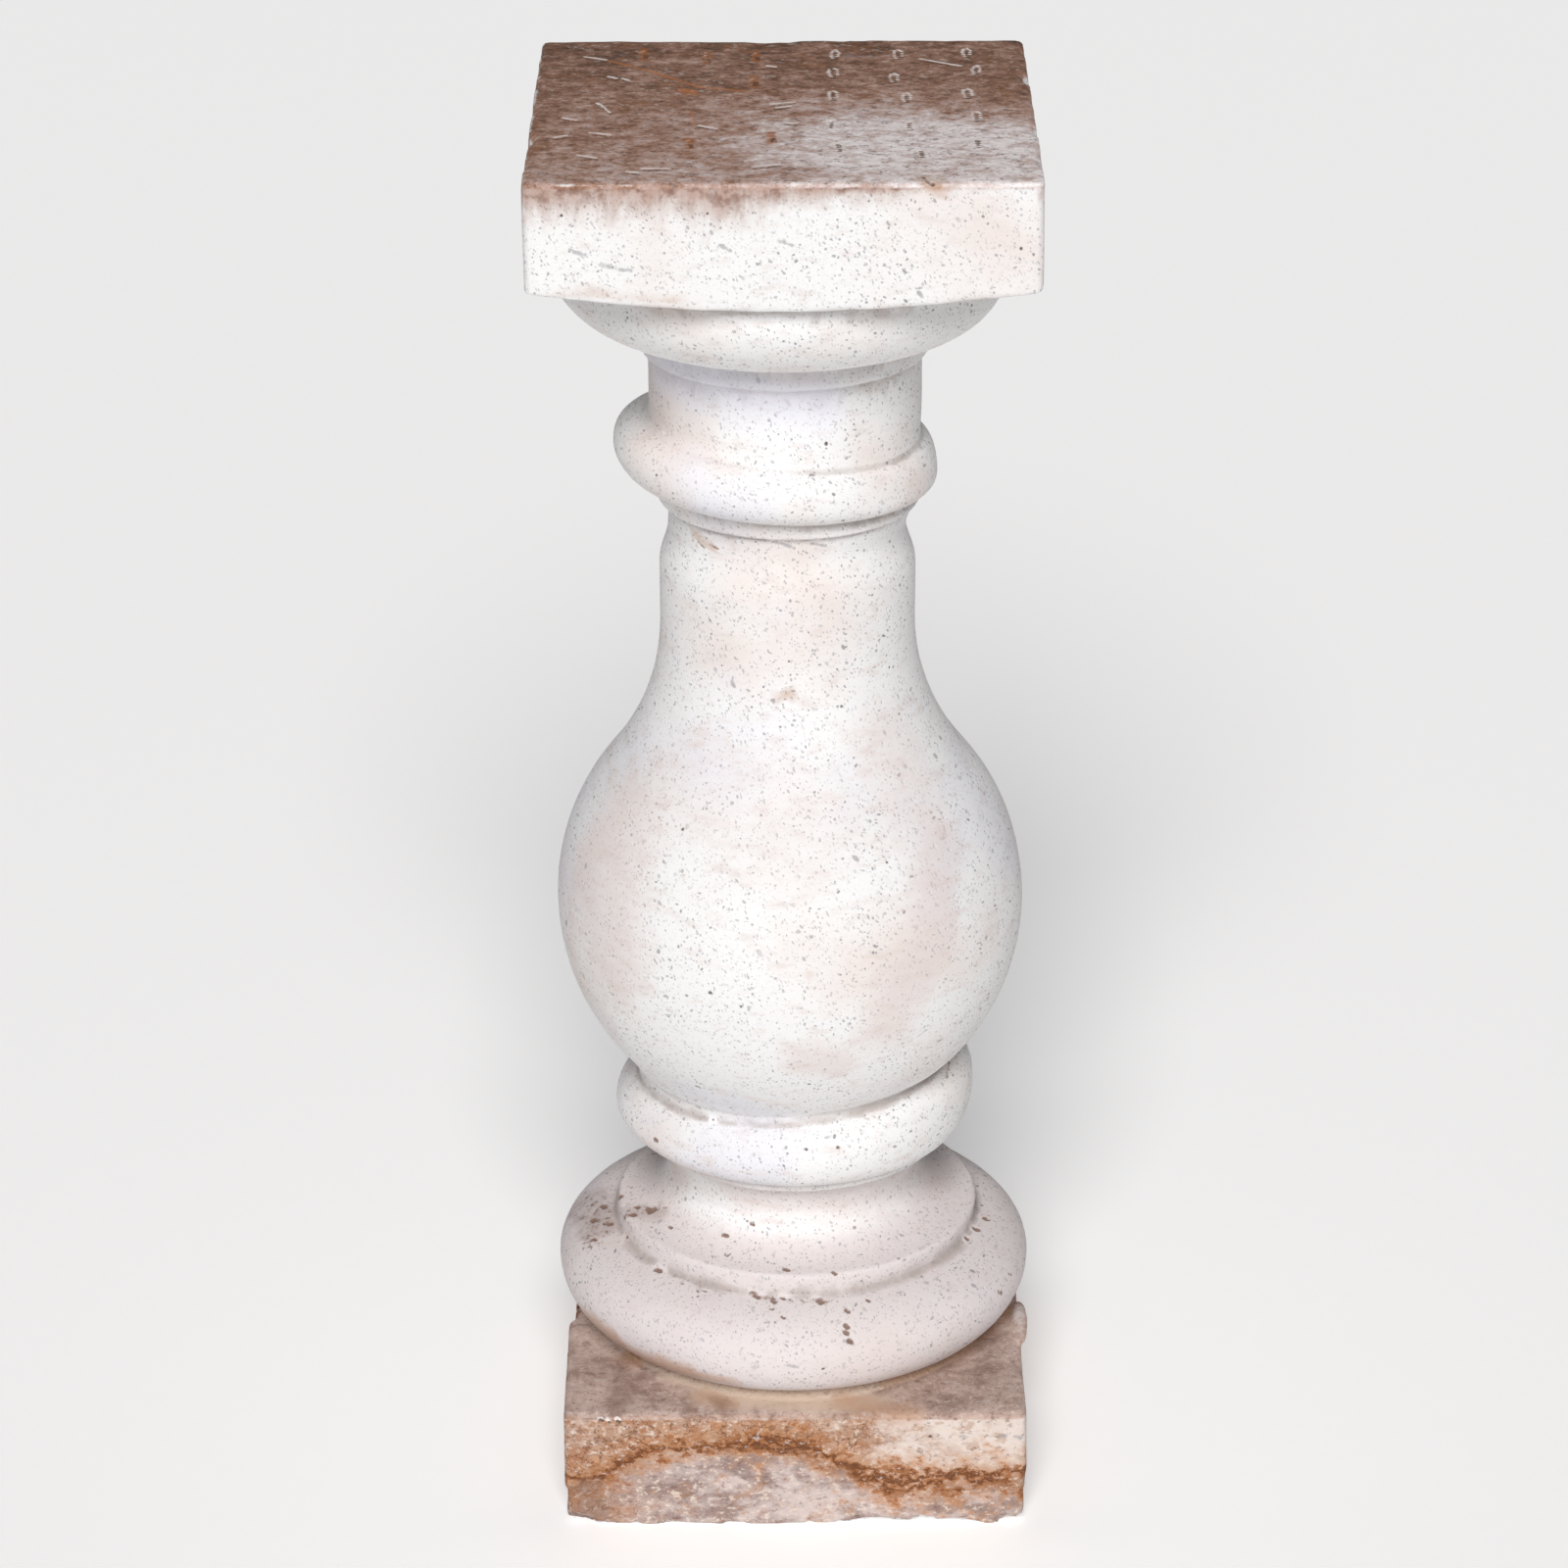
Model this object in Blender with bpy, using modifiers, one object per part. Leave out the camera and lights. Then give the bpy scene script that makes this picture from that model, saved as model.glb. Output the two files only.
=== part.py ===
"""Cast stone baluster pedestal: a turned shaft between a square cap and a square foot, cast in one.

The whole object is one solid. Its mouldings are stacked from the ground up, each with its own
height, and the radii of neighbours are tied together. Metres, +Z up, standing on z = 0.
"""
import math
import random

import bmesh
import bpy
from mathutils import Vector

# Square cap, bowed underneath because its blank was turned before it was squared
CAP_WIDTH = 0.2353
CAP_MIDDLE_HEIGHT = 0.0608
CAP_BOW = 0.0088
CAP_CORNER_ROUND = 0.0045
CAP_ARRIS_ROUND = 0.0012

# Square foot block
FOOT_WIDTH = 0.2314
FOOT_HEIGHT = 0.0652
FOOT_CORNER_ROUND = 0.0040
FOOT_ARRIS_ROUND = 0.0020

# Sandy curb where the torus beds on the foot block
CURB_HEIGHT = 0.0038
CURB_OUT = 0.0090

# Base torus and the ring above it
TORUS_OVERHANG = 0.0045
TORUS_UNDER_HEIGHT = 0.0284
TORUS_OVER_HEIGHT = 0.0215
RING_SET_IN = 0.0285
RING_HEIGHT = 0.0113
RING_EASE = 0.0016

# Scotia between the ring and the lower fillet
SCOTIA_SWEEP_HEIGHT = 0.0215
SCOTIA_NECK_HEIGHT = 0.0170
SCOTIA_DEPTH = 0.0130
SCOTIA_LIP = 0.0030

# Lower fillet and lower astragal
LOWER_FILLET_HEIGHT = 0.0052
LOWER_FILLET_SET_IN = 0.0015
LOWER_ASTRAGAL_UNDER_HEIGHT = 0.0172
LOWER_ASTRAGAL_OVER_HEIGHT = 0.0158
LOWER_ASTRAGAL_OUT = 0.0140

# Vase: a ball of a belly that sweeps up into a slim throat
BELLY_QUIRK_HEIGHT = 0.0058
BELLY_FOOT_RADIUS = 0.0780
BELLY_RADIUS = 0.1160
SHOULDER_HEIGHT = 0.1500
THROAT_RADIUS = 0.0622
THROAT_HEIGHT = 0.0280

# Scoop under the upper fillet, and the fillet
SCOOP_UPPER_HEIGHT = 0.0136
SCOOP_LOWER_HEIGHT = 0.0204
SCOOP_DEPTH = 0.0046
SCOOP_FLARE = 0.0015
UPPER_FILLET_HEIGHT = 0.0090
UPPER_FILLET_STEP = 0.0058

# Upper astragal, neck and cap fillet
UPPER_ASTRAGAL_UNDER_HEIGHT = 0.0122
UPPER_ASTRAGAL_OVER_HEIGHT = 0.0140
UPPER_ASTRAGAL_OUT = 0.0146
NECK_RADIUS = 0.0655
NECK_HEIGHT = 0.0412
NECK_COVE_HEIGHT = 0.0110
NECK_COVE_OUT = 0.0035
CAP_FILLET_HEIGHT = 0.0126
CAP_FILLET_STEP = 0.0037

# Ovolo under the cap
OVOLO_HEIGHT = 0.0305
OVOLO_LIP_HEIGHT = 0.0122
OVOLO_SET_BACK = 0.0085

# How far the foot stands to +X of the cap, because the casting leans
LEAN = 0.0045

# Mouldings that the worn mould left off true: level, reach above and below it, and how much
# the moulding rises, swells and thickens toward +X
DRIFTS = (
    ("ovolo_top", 0.0366, 0.0, -0.0022, 0.0),
    ("upper_astragal_widest", 0.0280, -0.0080, -0.0050, -0.25),
    ("scoop_top", 0.0144, 0.0, 0.0022, 0.0),
    ("lower_astragal_widest", 0.0332, 0.0055, 0.0012, 0.40),
    ("ring_top", 0.0203, 0.0, 0.0020, 0.0),
)

# Depth to which the shaft is let into each block, so the union has real overlap
EMBED = 0.0120

# Points closer than these become one, at the turning axis and after the union
POLE_MERGE = 0.00005
WELD_DISTANCE = 0.00002

# Fineness of the turned faces: steps around, and points along each kind of curve
TURN_STEPS = 56
SMALL_CURVE_POINTS = 3
ARC_POINTS = 4
SHOULDER_POINTS = 5
TORUS_POINTS = 6
BELLY_POINTS = 10

# Edges sharper than this, in degrees, stay crisp
CRISP_ANGLE = 35

# Chips and losses: block, side, place along the side, arris, half length, depth in, depth down
CHIPS = (
    ("cap", "right", 0.050, "top", 0.011, 0.0042, 0.0042),
    ("cap", "right", -0.036, "top", 0.009, 0.0034, 0.0034),
    ("cap", "left", -0.048, "top", 0.008, 0.0036, 0.0034),
    ("cap", "back", -0.004, "top", 0.013, 0.0034, 0.0030),
    ("cap", "front", 0.065, "top", 0.006, 0.0025, 0.0022),
    ("foot", "left", 0.055, "top", 0.078, 0.0085, 0.0420),
    ("foot", "right", 0.058, "top", 0.015, 0.0036, 0.0032),
    ("foot", "front", -0.098, "top", 0.012, 0.0028, 0.0024),
    ("foot", "front", -0.112, "bottom", 0.013, 0.0086, 0.0075),
    ("foot", "front", -0.062, "bottom", 0.009, 0.0032, 0.0028),
    ("foot", "front", -0.030, "bottom", 0.007, 0.0028, 0.0024),
    ("foot", "front", 0.040, "bottom", 0.014, 0.0052, 0.0046),
    ("foot", "front", 0.078, "bottom", 0.018, 0.0046, 0.0040),
    ("foot", "front", 0.111, "bottom", 0.011, 0.0070, 0.0060),
    ("foot", "left", -0.020, "bottom", 0.012, 0.0040, 0.0036),
    ("foot", "right", 0.064, "bottom", 0.014, 0.0050, 0.0044),
    ("foot", "back", -0.070, "bottom", 0.013, 0.0046, 0.0040),
    ("foot", "back", 0.046, "bottom", 0.010, 0.0036, 0.0032),
)
CHIP_SEED = 41
CHIP_JITTER = 0.18

# Lump left proud on the foot block, in the same order of values
LUMPS = (
    ("foot", "right", -0.026, "top", 0.021, 0.0040, 0.0036),
)

PART_NAME = "baluster"
STONE_COLOUR = (0.80, 0.76, 0.72, 1.0)
STONE_ROUGHNESS = 0.85


def stack_heights():
    """Heights of the mouldings above the ground, added up from the foot block to the cap."""
    order = (
        ("foot_top", FOOT_HEIGHT),
        ("curb_top", CURB_HEIGHT),
        ("torus_widest", TORUS_UNDER_HEIGHT),
        ("torus_top", TORUS_OVER_HEIGHT),
        ("ring_top", RING_HEIGHT),
        ("scotia_waist", SCOTIA_SWEEP_HEIGHT),
        ("scotia_top", SCOTIA_NECK_HEIGHT),
        ("lower_fillet_top", LOWER_FILLET_HEIGHT),
        ("lower_astragal_widest", LOWER_ASTRAGAL_UNDER_HEIGHT),
        ("lower_astragal_top", LOWER_ASTRAGAL_OVER_HEIGHT),
        ("belly_foot", BELLY_QUIRK_HEIGHT),
        ("belly_middle", math.sqrt(BELLY_RADIUS ** 2 - BELLY_FOOT_RADIUS ** 2)),
        ("throat", SHOULDER_HEIGHT),
        ("throat_top", THROAT_HEIGHT),
        ("scoop_deepest", SCOOP_LOWER_HEIGHT),
        ("scoop_top", SCOOP_UPPER_HEIGHT),
        ("upper_fillet_top", UPPER_FILLET_HEIGHT),
        ("upper_astragal_widest", UPPER_ASTRAGAL_UNDER_HEIGHT),
        ("upper_astragal_top", UPPER_ASTRAGAL_OVER_HEIGHT),
        ("neck_top", NECK_HEIGHT),
        ("cap_fillet_top", CAP_FILLET_HEIGHT),
        ("ovolo_top", OVOLO_HEIGHT),
        ("cap_underside", OVOLO_LIP_HEIGHT),
        ("cap_top", CAP_MIDDLE_HEIGHT),
    )
    levels = {}
    height = 0.0
    for name, rise in order:
        height += rise
        levels[name] = height
    return levels


LEVELS = stack_heights()


def shared_radii():
    """Radii that neighbouring mouldings share."""
    scoop = THROAT_RADIUS - SCOOP_DEPTH
    upper_fillet = scoop + UPPER_FILLET_STEP
    lower_fillet = BELLY_FOOT_RADIUS - LOWER_FILLET_SET_IN
    torus = FOOT_WIDTH / 2 + TORUS_OVERHANG
    return {
        "ovolo": CAP_WIDTH / 2 - OVOLO_SET_BACK,
        "cap_fillet": NECK_RADIUS + CAP_FILLET_STEP,
        "upper_fillet": upper_fillet,
        "upper_astragal": upper_fillet + UPPER_ASTRAGAL_OUT,
        "scoop": scoop,
        "lower_fillet": lower_fillet,
        "lower_astragal": lower_fillet + LOWER_ASTRAGAL_OUT,
        "scotia": lower_fillet - SCOTIA_DEPTH,
        "torus": torus,
        "ring": torus - RING_SET_IN,
    }


RADII = shared_radii()


def quarter(start, end, upright_start, count=ARC_POINTS):
    """Points of a quarter ellipse from start to end, leaving upright or level at the start."""
    points = []
    for index in range(count + 1):
        turn = math.pi / 2 * index / count
        if upright_start:
            radius = end[0] + (start[0] - end[0]) * math.cos(turn)
            height = start[1] + (end[1] - start[1]) * math.sin(turn)
        else:
            radius = start[0] + (end[0] - start[0]) * math.sin(turn)
            height = end[1] + (start[1] - end[1]) * math.cos(turn)
        points.append((radius, height))
    return points


def ease(start, end, count=SMALL_CURVE_POINTS):
    """Points of a soft S curve from start to end, upright at both ends."""
    points = []
    for index in range(count + 1):
        share = index / count
        blend = (1 - math.cos(math.pi * share)) / 2
        points.append((start[0] + (end[0] - start[0]) * blend,
                       start[1] + (end[1] - start[1]) * share))
    return points


def roll(start, widest, end, count=ARC_POINTS):
    """Points of a round moulding that swells from start to its widest point and back to end."""
    return quarter(start, widest, False, count) + quarter(widest, end, True, count)


def circle_arc(centre, radius, start_angle, end_angle, count):
    """Points of a circle arc in the plane of the profile."""
    points = []
    for index in range(count + 1):
        angle = start_angle + (end_angle - start_angle) * index / count
        points.append((centre[0] + radius * math.cos(angle), centre[1] + radius * math.sin(angle)))
    return points


def cap_mouldings():
    """Ovolo, cap fillet and neck, from the cap downward."""
    ovolo = RADII["ovolo"]
    fillet = RADII["cap_fillet"]
    neck_low = LEVELS["upper_astragal_top"] + NECK_COVE_HEIGHT
    cove_end = (NECK_RADIUS + NECK_COVE_OUT, LEVELS["upper_astragal_top"])
    points = [(0.0, LEVELS["cap_underside"] + EMBED), (ovolo, LEVELS["cap_underside"] + EMBED)]
    points += quarter((ovolo, LEVELS["ovolo_top"]), (fillet, LEVELS["cap_fillet_top"]), True)
    points.append((fillet, LEVELS["neck_top"]))
    points.append((NECK_RADIUS, LEVELS["neck_top"]))
    points += quarter((NECK_RADIUS, neck_low), cove_end, True, SMALL_CURVE_POINTS)
    return points


def upper_astragal():
    """Upper astragal and the fillet below it."""
    fillet = RADII["upper_fillet"]
    start = (NECK_RADIUS + NECK_COVE_OUT, LEVELS["upper_astragal_top"])
    widest = (RADII["upper_astragal"], LEVELS["upper_astragal_widest"])
    points = roll(start, widest, (fillet, LEVELS["upper_fillet_top"]))
    points.append((fillet, LEVELS["scoop_top"]))
    return points


def vase():
    """Scoop, throat, shoulder and belly. The shoulder arc touches both the throat and the ball."""
    scoop = RADII["scoop"]
    deepest = (scoop, LEVELS["scoop_deepest"])
    points = ease((scoop + SCOOP_FLARE, LEVELS["scoop_top"]), deepest)
    points += ease(deepest, (THROAT_RADIUS, LEVELS["throat_top"]))
    reach = THROAT_RADIUS ** 2 + SHOULDER_HEIGHT ** 2 - BELLY_RADIUS ** 2
    sweep = reach / (2 * (BELLY_RADIUS - THROAT_RADIUS))
    lift = math.asin(SHOULDER_HEIGHT / (BELLY_RADIUS + sweep))
    drop = math.acos(BELLY_FOOT_RADIUS / BELLY_RADIUS)
    throat_centre = (THROAT_RADIUS + sweep, LEVELS["throat"])
    belly_centre = (0.0, LEVELS["belly_middle"])
    points += circle_arc(throat_centre, sweep, math.pi, math.pi + lift, SHOULDER_POINTS)
    points += circle_arc(belly_centre, BELLY_RADIUS, lift, -drop, BELLY_POINTS)
    return points


def lower_astragal():
    """Lower astragal and its thin fillet."""
    fillet = RADII["lower_fillet"]
    start = (BELLY_FOOT_RADIUS, LEVELS["lower_astragal_top"])
    widest = (RADII["lower_astragal"], LEVELS["lower_astragal_widest"])
    points = roll(start, widest, (fillet, LEVELS["lower_fillet_top"]))
    points.append((fillet, LEVELS["scotia_top"]))
    return points


def base_mouldings():
    """Scotia, ring, torus and the curb that beds it on the foot block."""
    ring = RADII["ring"]
    curb = ring + CURB_OUT
    neck = (RADII["lower_fillet"] - SCOTIA_LIP, LEVELS["scotia_top"])
    waist = (RADII["scotia"], LEVELS["scotia_waist"])
    ring_rim = (ring - RING_EASE, LEVELS["ring_top"])
    widest = (RADII["torus"], LEVELS["torus_widest"])
    curb_rim = (ring + CURB_OUT / 2, LEVELS["curb_top"])
    points = quarter(neck, waist, False, SMALL_CURVE_POINTS)
    points += quarter(waist, ring_rim, True)
    points += quarter(ring_rim, (ring, LEVELS["ring_top"] - RING_EASE), False, 2)
    points += roll((ring, LEVELS["torus_top"]), widest, (ring, LEVELS["curb_top"]), TORUS_POINTS)
    points += quarter(curb_rim, (curb, LEVELS["foot_top"]), False, 2)
    points.append((curb, LEVELS["foot_top"] - EMBED))
    points.append((0.0, LEVELS["foot_top"] - EMBED))
    return points


def without_repeats(points):
    """The same points, each once where two stretches meet."""
    kept = [points[0]]
    for point in points[1:]:
        if math.dist(point, kept[-1]) > WELD_DISTANCE:
            kept.append(point)
    return kept


def add_object(name, mesh, collection):
    """A new object for a mesh, linked to a collection."""
    obj = bpy.data.objects.new(name, mesh)
    collection.objects.link(obj)
    return obj


def turned(name, points, collection):
    """A body turned from a profile that runs top to bottom at +X."""
    mesh = bpy.data.meshes.new(name)
    corners = [(radius, 0.0, height) for radius, height in without_repeats(points)]
    mesh.from_pydata(corners, [(i, i + 1) for i in range(len(corners) - 1)], [])
    obj = add_object(name, mesh, collection)
    screw = obj.modifiers.new("Turn", "SCREW")
    screw.axis = "Z"
    screw.steps = TURN_STEPS
    screw.render_steps = TURN_STEPS
    screw.use_merge_vertices = True
    screw.merge_threshold = POLE_MERGE
    screw.use_normal_calculate = True
    return obj


def baked(obj):
    """Replace an object's mesh and modifiers by the shape they make, and return its mesh."""
    depsgraph = bpy.context.evaluated_depsgraph_get()
    mesh = bpy.data.meshes.new_from_object(obj.evaluated_get(depsgraph))
    obj.modifiers.clear()
    obj.data = mesh
    return mesh


def drift(mesh):
    """Move the mouldings off true, outside the core of the shaft."""
    for vertex in mesh.vertices:
        height = vertex.co.z
        radius = math.hypot(vertex.co.x, vertex.co.y)
        if radius < THROAT_RADIUS / 2:
            continue
        toward = vertex.co.x / radius
        for level, reach, rise, swell, thicken in DRIFTS:
            away = height - LEVELS[level]
            weight = math.cos(math.pi / 2 * min(abs(away) / reach, 1.0)) ** 2 * toward
            vertex.co.z += (rise + thicken * away) * weight
            vertex.co.x *= 1 + swell * weight / radius
            vertex.co.y *= 1 + swell * weight / radius


def lean(mesh):
    """Shear a mesh so that the foot stands a little to +X of the cap."""
    top = LEVELS["cap_top"]
    for vertex in mesh.vertices:
        vertex.co.x += LEAN * (0.5 - vertex.co.z / top)


def eased_block(name, width, low, high, corner_round, arris_round, collection):
    """A square block with rounded upright corners and softly broken level arrises."""
    mesh = bpy.data.meshes.new(name)
    shape = bmesh.new()
    bmesh.ops.create_cube(shape, size=1.0)
    for vertex in shape.verts:
        vertex.co = Vector((vertex.co.x * width, vertex.co.y * width,
                            (low + high) / 2 + vertex.co.z * (high - low)))
    upright = [e for e in shape.edges if abs(e.verts[0].co.z - e.verts[1].co.z) > (high - low) / 2]
    bmesh.ops.bevel(shape, geom=upright, offset=corner_round, segments=3, profile=0.5,
                    affect="EDGES", clamp_overlap=False)
    level = [e for e in shape.edges if len(e.link_faces) == 2 and abs(e.calc_face_angle()) > 1.0]
    bmesh.ops.bevel(shape, geom=level, offset=arris_round, segments=2, profile=0.5,
                    affect="EDGES", clamp_overlap=False)
    shape.to_mesh(mesh)
    shape.free()
    return add_object(name, mesh, collection)


def add_boolean(obj, cutter, operation):
    """An exact Boolean of an object with a cutter."""
    modifier = obj.modifiers.new(operation.title() + " " + cutter.name, "BOOLEAN")
    modifier.object = cutter
    modifier.operation = operation
    modifier.solver = "EXACT"
    return modifier


def chip_place(block, side, along, arris):
    """The point on a block's arris where a chip sits, and the angle of that side about Z."""
    half = (CAP_WIDTH if block == "cap" else FOOT_WIDTH) / 2
    level = {
        ("cap", "top"): LEVELS["cap_top"],
        ("foot", "top"): LEVELS["foot_top"],
        ("foot", "bottom"): 0.0,
    }[(block, arris)]
    place = {
        "front": Vector((along, -half, level)),
        "back": Vector((along, half, level)),
        "left": Vector((-half, along, level)),
        "right": Vector((half, along, level)),
    }[side]
    return place, 0.0 if side in ("front", "back") else math.pi / 2


def chips_on(block):
    """The chips of one block."""
    return [chip for chip in CHIPS if chip[0] == block]


def make_pebbles(name, places, cutters):
    """One cutter that holds uneven pebbles laid along the arrises."""
    spread = random.Random(CHIP_SEED)
    mesh = bpy.data.meshes.new(name)
    shape = bmesh.new()
    for block, side, along, arris, half_length, inward, downward in places:
        place, turn = chip_place(block, side, along, arris)
        pebble = bmesh.ops.create_icosphere(shape, subdivisions=1, radius=1.0)["verts"]
        cosine = math.cos(turn)
        sine = math.sin(turn)
        for vertex in pebble:
            vertex.co *= 1 + spread.uniform(-CHIP_JITTER, CHIP_JITTER)
            reach = vertex.co.x * half_length
            out = vertex.co.y * inward
            vertex.co = place + Vector((reach * cosine - out * sine,
                                        reach * sine + out * cosine,
                                        vertex.co.z * downward))
    shape.to_mesh(mesh)
    shape.free()
    return add_object(name, mesh, cutters)


def cap_blank_profile():
    """Profile of the turned blank whose underside falls toward its middle."""
    half = CAP_WIDTH / 2
    outer = half * math.sqrt(2) + EMBED
    slope = CAP_BOW / (half * (math.sqrt(2) - 1))
    inner = RADII["ovolo"] - EMBED
    underside = LEVELS["cap_underside"]
    return [
        (0.0, LEVELS["cap_top"] + EMBED),
        (outer, LEVELS["cap_top"] + EMBED),
        (outer, underside + (outer - half) * slope),
        (inner, underside + (inner - half) * slope),
        (0.0, underside + (inner - half) * slope),
    ]


def make_cap(cutters):
    """The square cap: a turned blank squared off by a block, then chipped."""
    low = LEVELS["cap_underside"] - EMBED * 2
    cap = eased_block("cap_block", CAP_WIDTH, low, LEVELS["cap_top"],
                      CAP_CORNER_ROUND, CAP_ARRIS_ROUND, cutters)
    blank = turned("cap_blank", cap_blank_profile(), cutters)
    baked(blank)
    add_boolean(cap, blank, "INTERSECT")
    add_boolean(cap, make_pebbles("cap_chips", chips_on("cap"), cutters), "DIFFERENCE")
    baked(cap)
    return cap


def make_foot(cutters):
    """The square foot block with its chips and the lump left proud on it."""
    foot = eased_block("foot_block", FOOT_WIDTH, 0.0, LEVELS["foot_top"],
                       FOOT_CORNER_ROUND, FOOT_ARRIS_ROUND, cutters)
    add_boolean(foot, make_pebbles("foot_chips", chips_on("foot"), cutters), "DIFFERENCE")
    add_boolean(foot, make_pebbles("foot_lumps", LUMPS, cutters), "UNION")
    baked(foot)
    return foot


def stone_material():
    """Pale cast stone, dry and matt."""
    material = bpy.data.materials.new("cast_stone")
    material.use_nodes = True
    shader = material.node_tree.nodes["Principled BSDF"]
    shader.inputs["Base Color"].default_value = STONE_COLOUR
    shader.inputs["Roughness"].default_value = STONE_ROUGHNESS
    return material


def centre_on_box(mesh):
    """Move a mesh so that its box stands centred on the origin."""
    for axis in (0, 1):
        values = [vertex.co[axis] for vertex in mesh.vertices]
        middle = (min(values) + max(values)) / 2
        for vertex in mesh.vertices:
            vertex.co[axis] -= middle


def clear_scene():
    """Remove whatever objects the file opened with."""
    for obj in list(bpy.data.objects):
        bpy.data.objects.remove(obj, do_unlink=True)


def main():
    """Build the pedestal."""
    clear_scene()
    parts = bpy.data.collections.new("cast_stone_baluster_pedestal")
    cutters = bpy.data.collections.new("cutters")
    bpy.context.scene.collection.children.link(parts)
    bpy.context.scene.collection.children.link(cutters)

    profile = cap_mouldings() + upper_astragal() + vase() + lower_astragal() + base_mouldings()
    baluster = turned(PART_NAME, profile, parts)
    drift(baked(baluster))

    add_boolean(baluster, make_cap(cutters), "UNION")
    add_boolean(baluster, make_foot(cutters), "UNION")
    weld = baluster.modifiers.new("Weld", "WELD")
    weld.merge_threshold = WELD_DISTANCE

    mesh = baked(baluster)
    lean(mesh)
    centre_on_box(mesh)
    mesh.materials.clear()
    mesh.materials.append(stone_material())
    for polygon in mesh.polygons:
        polygon.use_smooth = True
        polygon.material_index = 0
    mesh.set_sharp_from_angle(angle=math.radians(CRISP_ANGLE))

    for obj in cutters.objects:
        obj.hide_render = True
        obj.display_type = "WIRE"


main()
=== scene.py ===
"""Cast stone baluster pedestal: the weathered looks of one casting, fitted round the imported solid.

The casting is built from the same named sizes as the solid, with finer curves, then worn in mesh
code: broken arrises, chips, tool marks, crusts. One stone finish with its soil and rust dresses it.
Metres, +Z up, the front toward -Y.
"""

import logging
import math
from dataclasses import dataclass
from enum import Enum

import bmesh
import bpy
import numpy as np
from mathutils import Matrix, Vector


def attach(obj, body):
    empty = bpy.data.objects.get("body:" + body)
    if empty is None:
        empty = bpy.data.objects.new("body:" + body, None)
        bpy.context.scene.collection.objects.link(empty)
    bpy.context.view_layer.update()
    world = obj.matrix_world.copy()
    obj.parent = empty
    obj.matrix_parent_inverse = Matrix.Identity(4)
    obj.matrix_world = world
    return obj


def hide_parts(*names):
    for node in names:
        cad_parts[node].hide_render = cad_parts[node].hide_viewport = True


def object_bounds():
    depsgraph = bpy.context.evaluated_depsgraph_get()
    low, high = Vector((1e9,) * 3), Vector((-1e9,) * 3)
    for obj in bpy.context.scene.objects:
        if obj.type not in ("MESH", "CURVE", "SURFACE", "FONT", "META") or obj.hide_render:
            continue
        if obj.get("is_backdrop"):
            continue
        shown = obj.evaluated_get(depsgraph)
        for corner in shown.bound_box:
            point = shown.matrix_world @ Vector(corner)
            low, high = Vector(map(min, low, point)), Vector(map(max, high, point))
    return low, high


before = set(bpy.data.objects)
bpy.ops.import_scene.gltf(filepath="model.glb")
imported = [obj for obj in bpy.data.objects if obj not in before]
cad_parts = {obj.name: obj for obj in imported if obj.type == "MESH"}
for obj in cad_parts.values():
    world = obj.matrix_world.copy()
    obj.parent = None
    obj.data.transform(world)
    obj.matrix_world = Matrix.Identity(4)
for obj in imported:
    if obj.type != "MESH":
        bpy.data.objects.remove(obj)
CAD_LOW, CAD_HIGH = (tuple(corner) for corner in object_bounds())

LOG = logging.getLogger("pedestal")
MM = 0.001

Point = tuple[float, float]
Triple = tuple[float, float, float]
Colour = tuple[float, float, float, float]


class Side(Enum):
    """The four sides of a square block."""

    FRONT = "front"
    BACK = "back"
    LEFT = "left"
    RIGHT = "right"


class Arris(Enum):
    """Which level edge of a block a chip sits on."""

    TOP = "top"
    BOTTOM = "bottom"


class Stain(Enum):
    """The kinds of mark that colour the stone: stains, with painted highlights and shadows at pits
    and dashes; each is one attribute of the mesh.
    """

    # Pale bruises, also painted highlight on the lit rims of pits and dashes.
    PALE = "pale_bruise_and_highlight"
    ORANGE = "orange_bruise"
    BROWN = "brown_crust"
    GREY = "grey_scuff"
    TAN = "tan_wash"
    # Dark pits, also painted shadow in pits and beside raised dashes.
    DARK = "dark_pit_and_shadow"
    ROSE = "rose_wash"
    LILAC = "lilac_wash"
    UMBER = "umber_wash"
    SAND = "sand_wash"
    CRUMB = "brown_crumbs"


@dataclass(frozen=True)
class Chip:
    """A pebble-shaped loss or lump on an arris of a block."""

    side: Side
    along: float
    arris: Arris
    half_length: float
    inward: float
    downward: float


@dataclass(frozen=True)
class Mark:
    """A small mark on the stone, placed by a line of photo pixels and laid on whatever it meets."""

    stain: Stain
    line: tuple[Point, ...]
    width_mm: float
    depth_mm: float
    rim_mm: float = 0.0
    strength: float = 1.0


@dataclass(frozen=True)
class Drift:
    """How one moulding of the worn mould rises, swells and thickens toward +X."""

    level: str
    reach: float
    rise: float
    swell: float
    thicken: float


def linear(code: str) -> Colour:
    """Turn an sRGB hex colour into the linear values that Blender's shaders take.

    Args:
        code: A colour such as "#f1ece8".

    Returns:
        Linear red, green and blue, and an alpha of 1.
    """
    values = []
    for start in (1, 3, 5):
        share = int(code[start:start + 2], 16) / 255
        values.append(share / 12.92 if share <= 0.04045 else ((share + 0.055) / 1.055) ** 2.4)
    return values[0], values[1], values[2], 1.0


def smooth_step(values: np.ndarray, low: float, high: float) -> np.ndarray:
    """Ease values from 0 at low to 1 at high.

    Args:
        values: The numbers to ease.
        low: Where the result is 0.
        high: Where the result is 1. It may lie below low.

    Returns:
        The eased numbers, from 0 to 1.
    """
    share = np.clip((values - low) / (high - low), 0.0, 1.0)
    return share * share * (3 - 2 * share)


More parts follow.
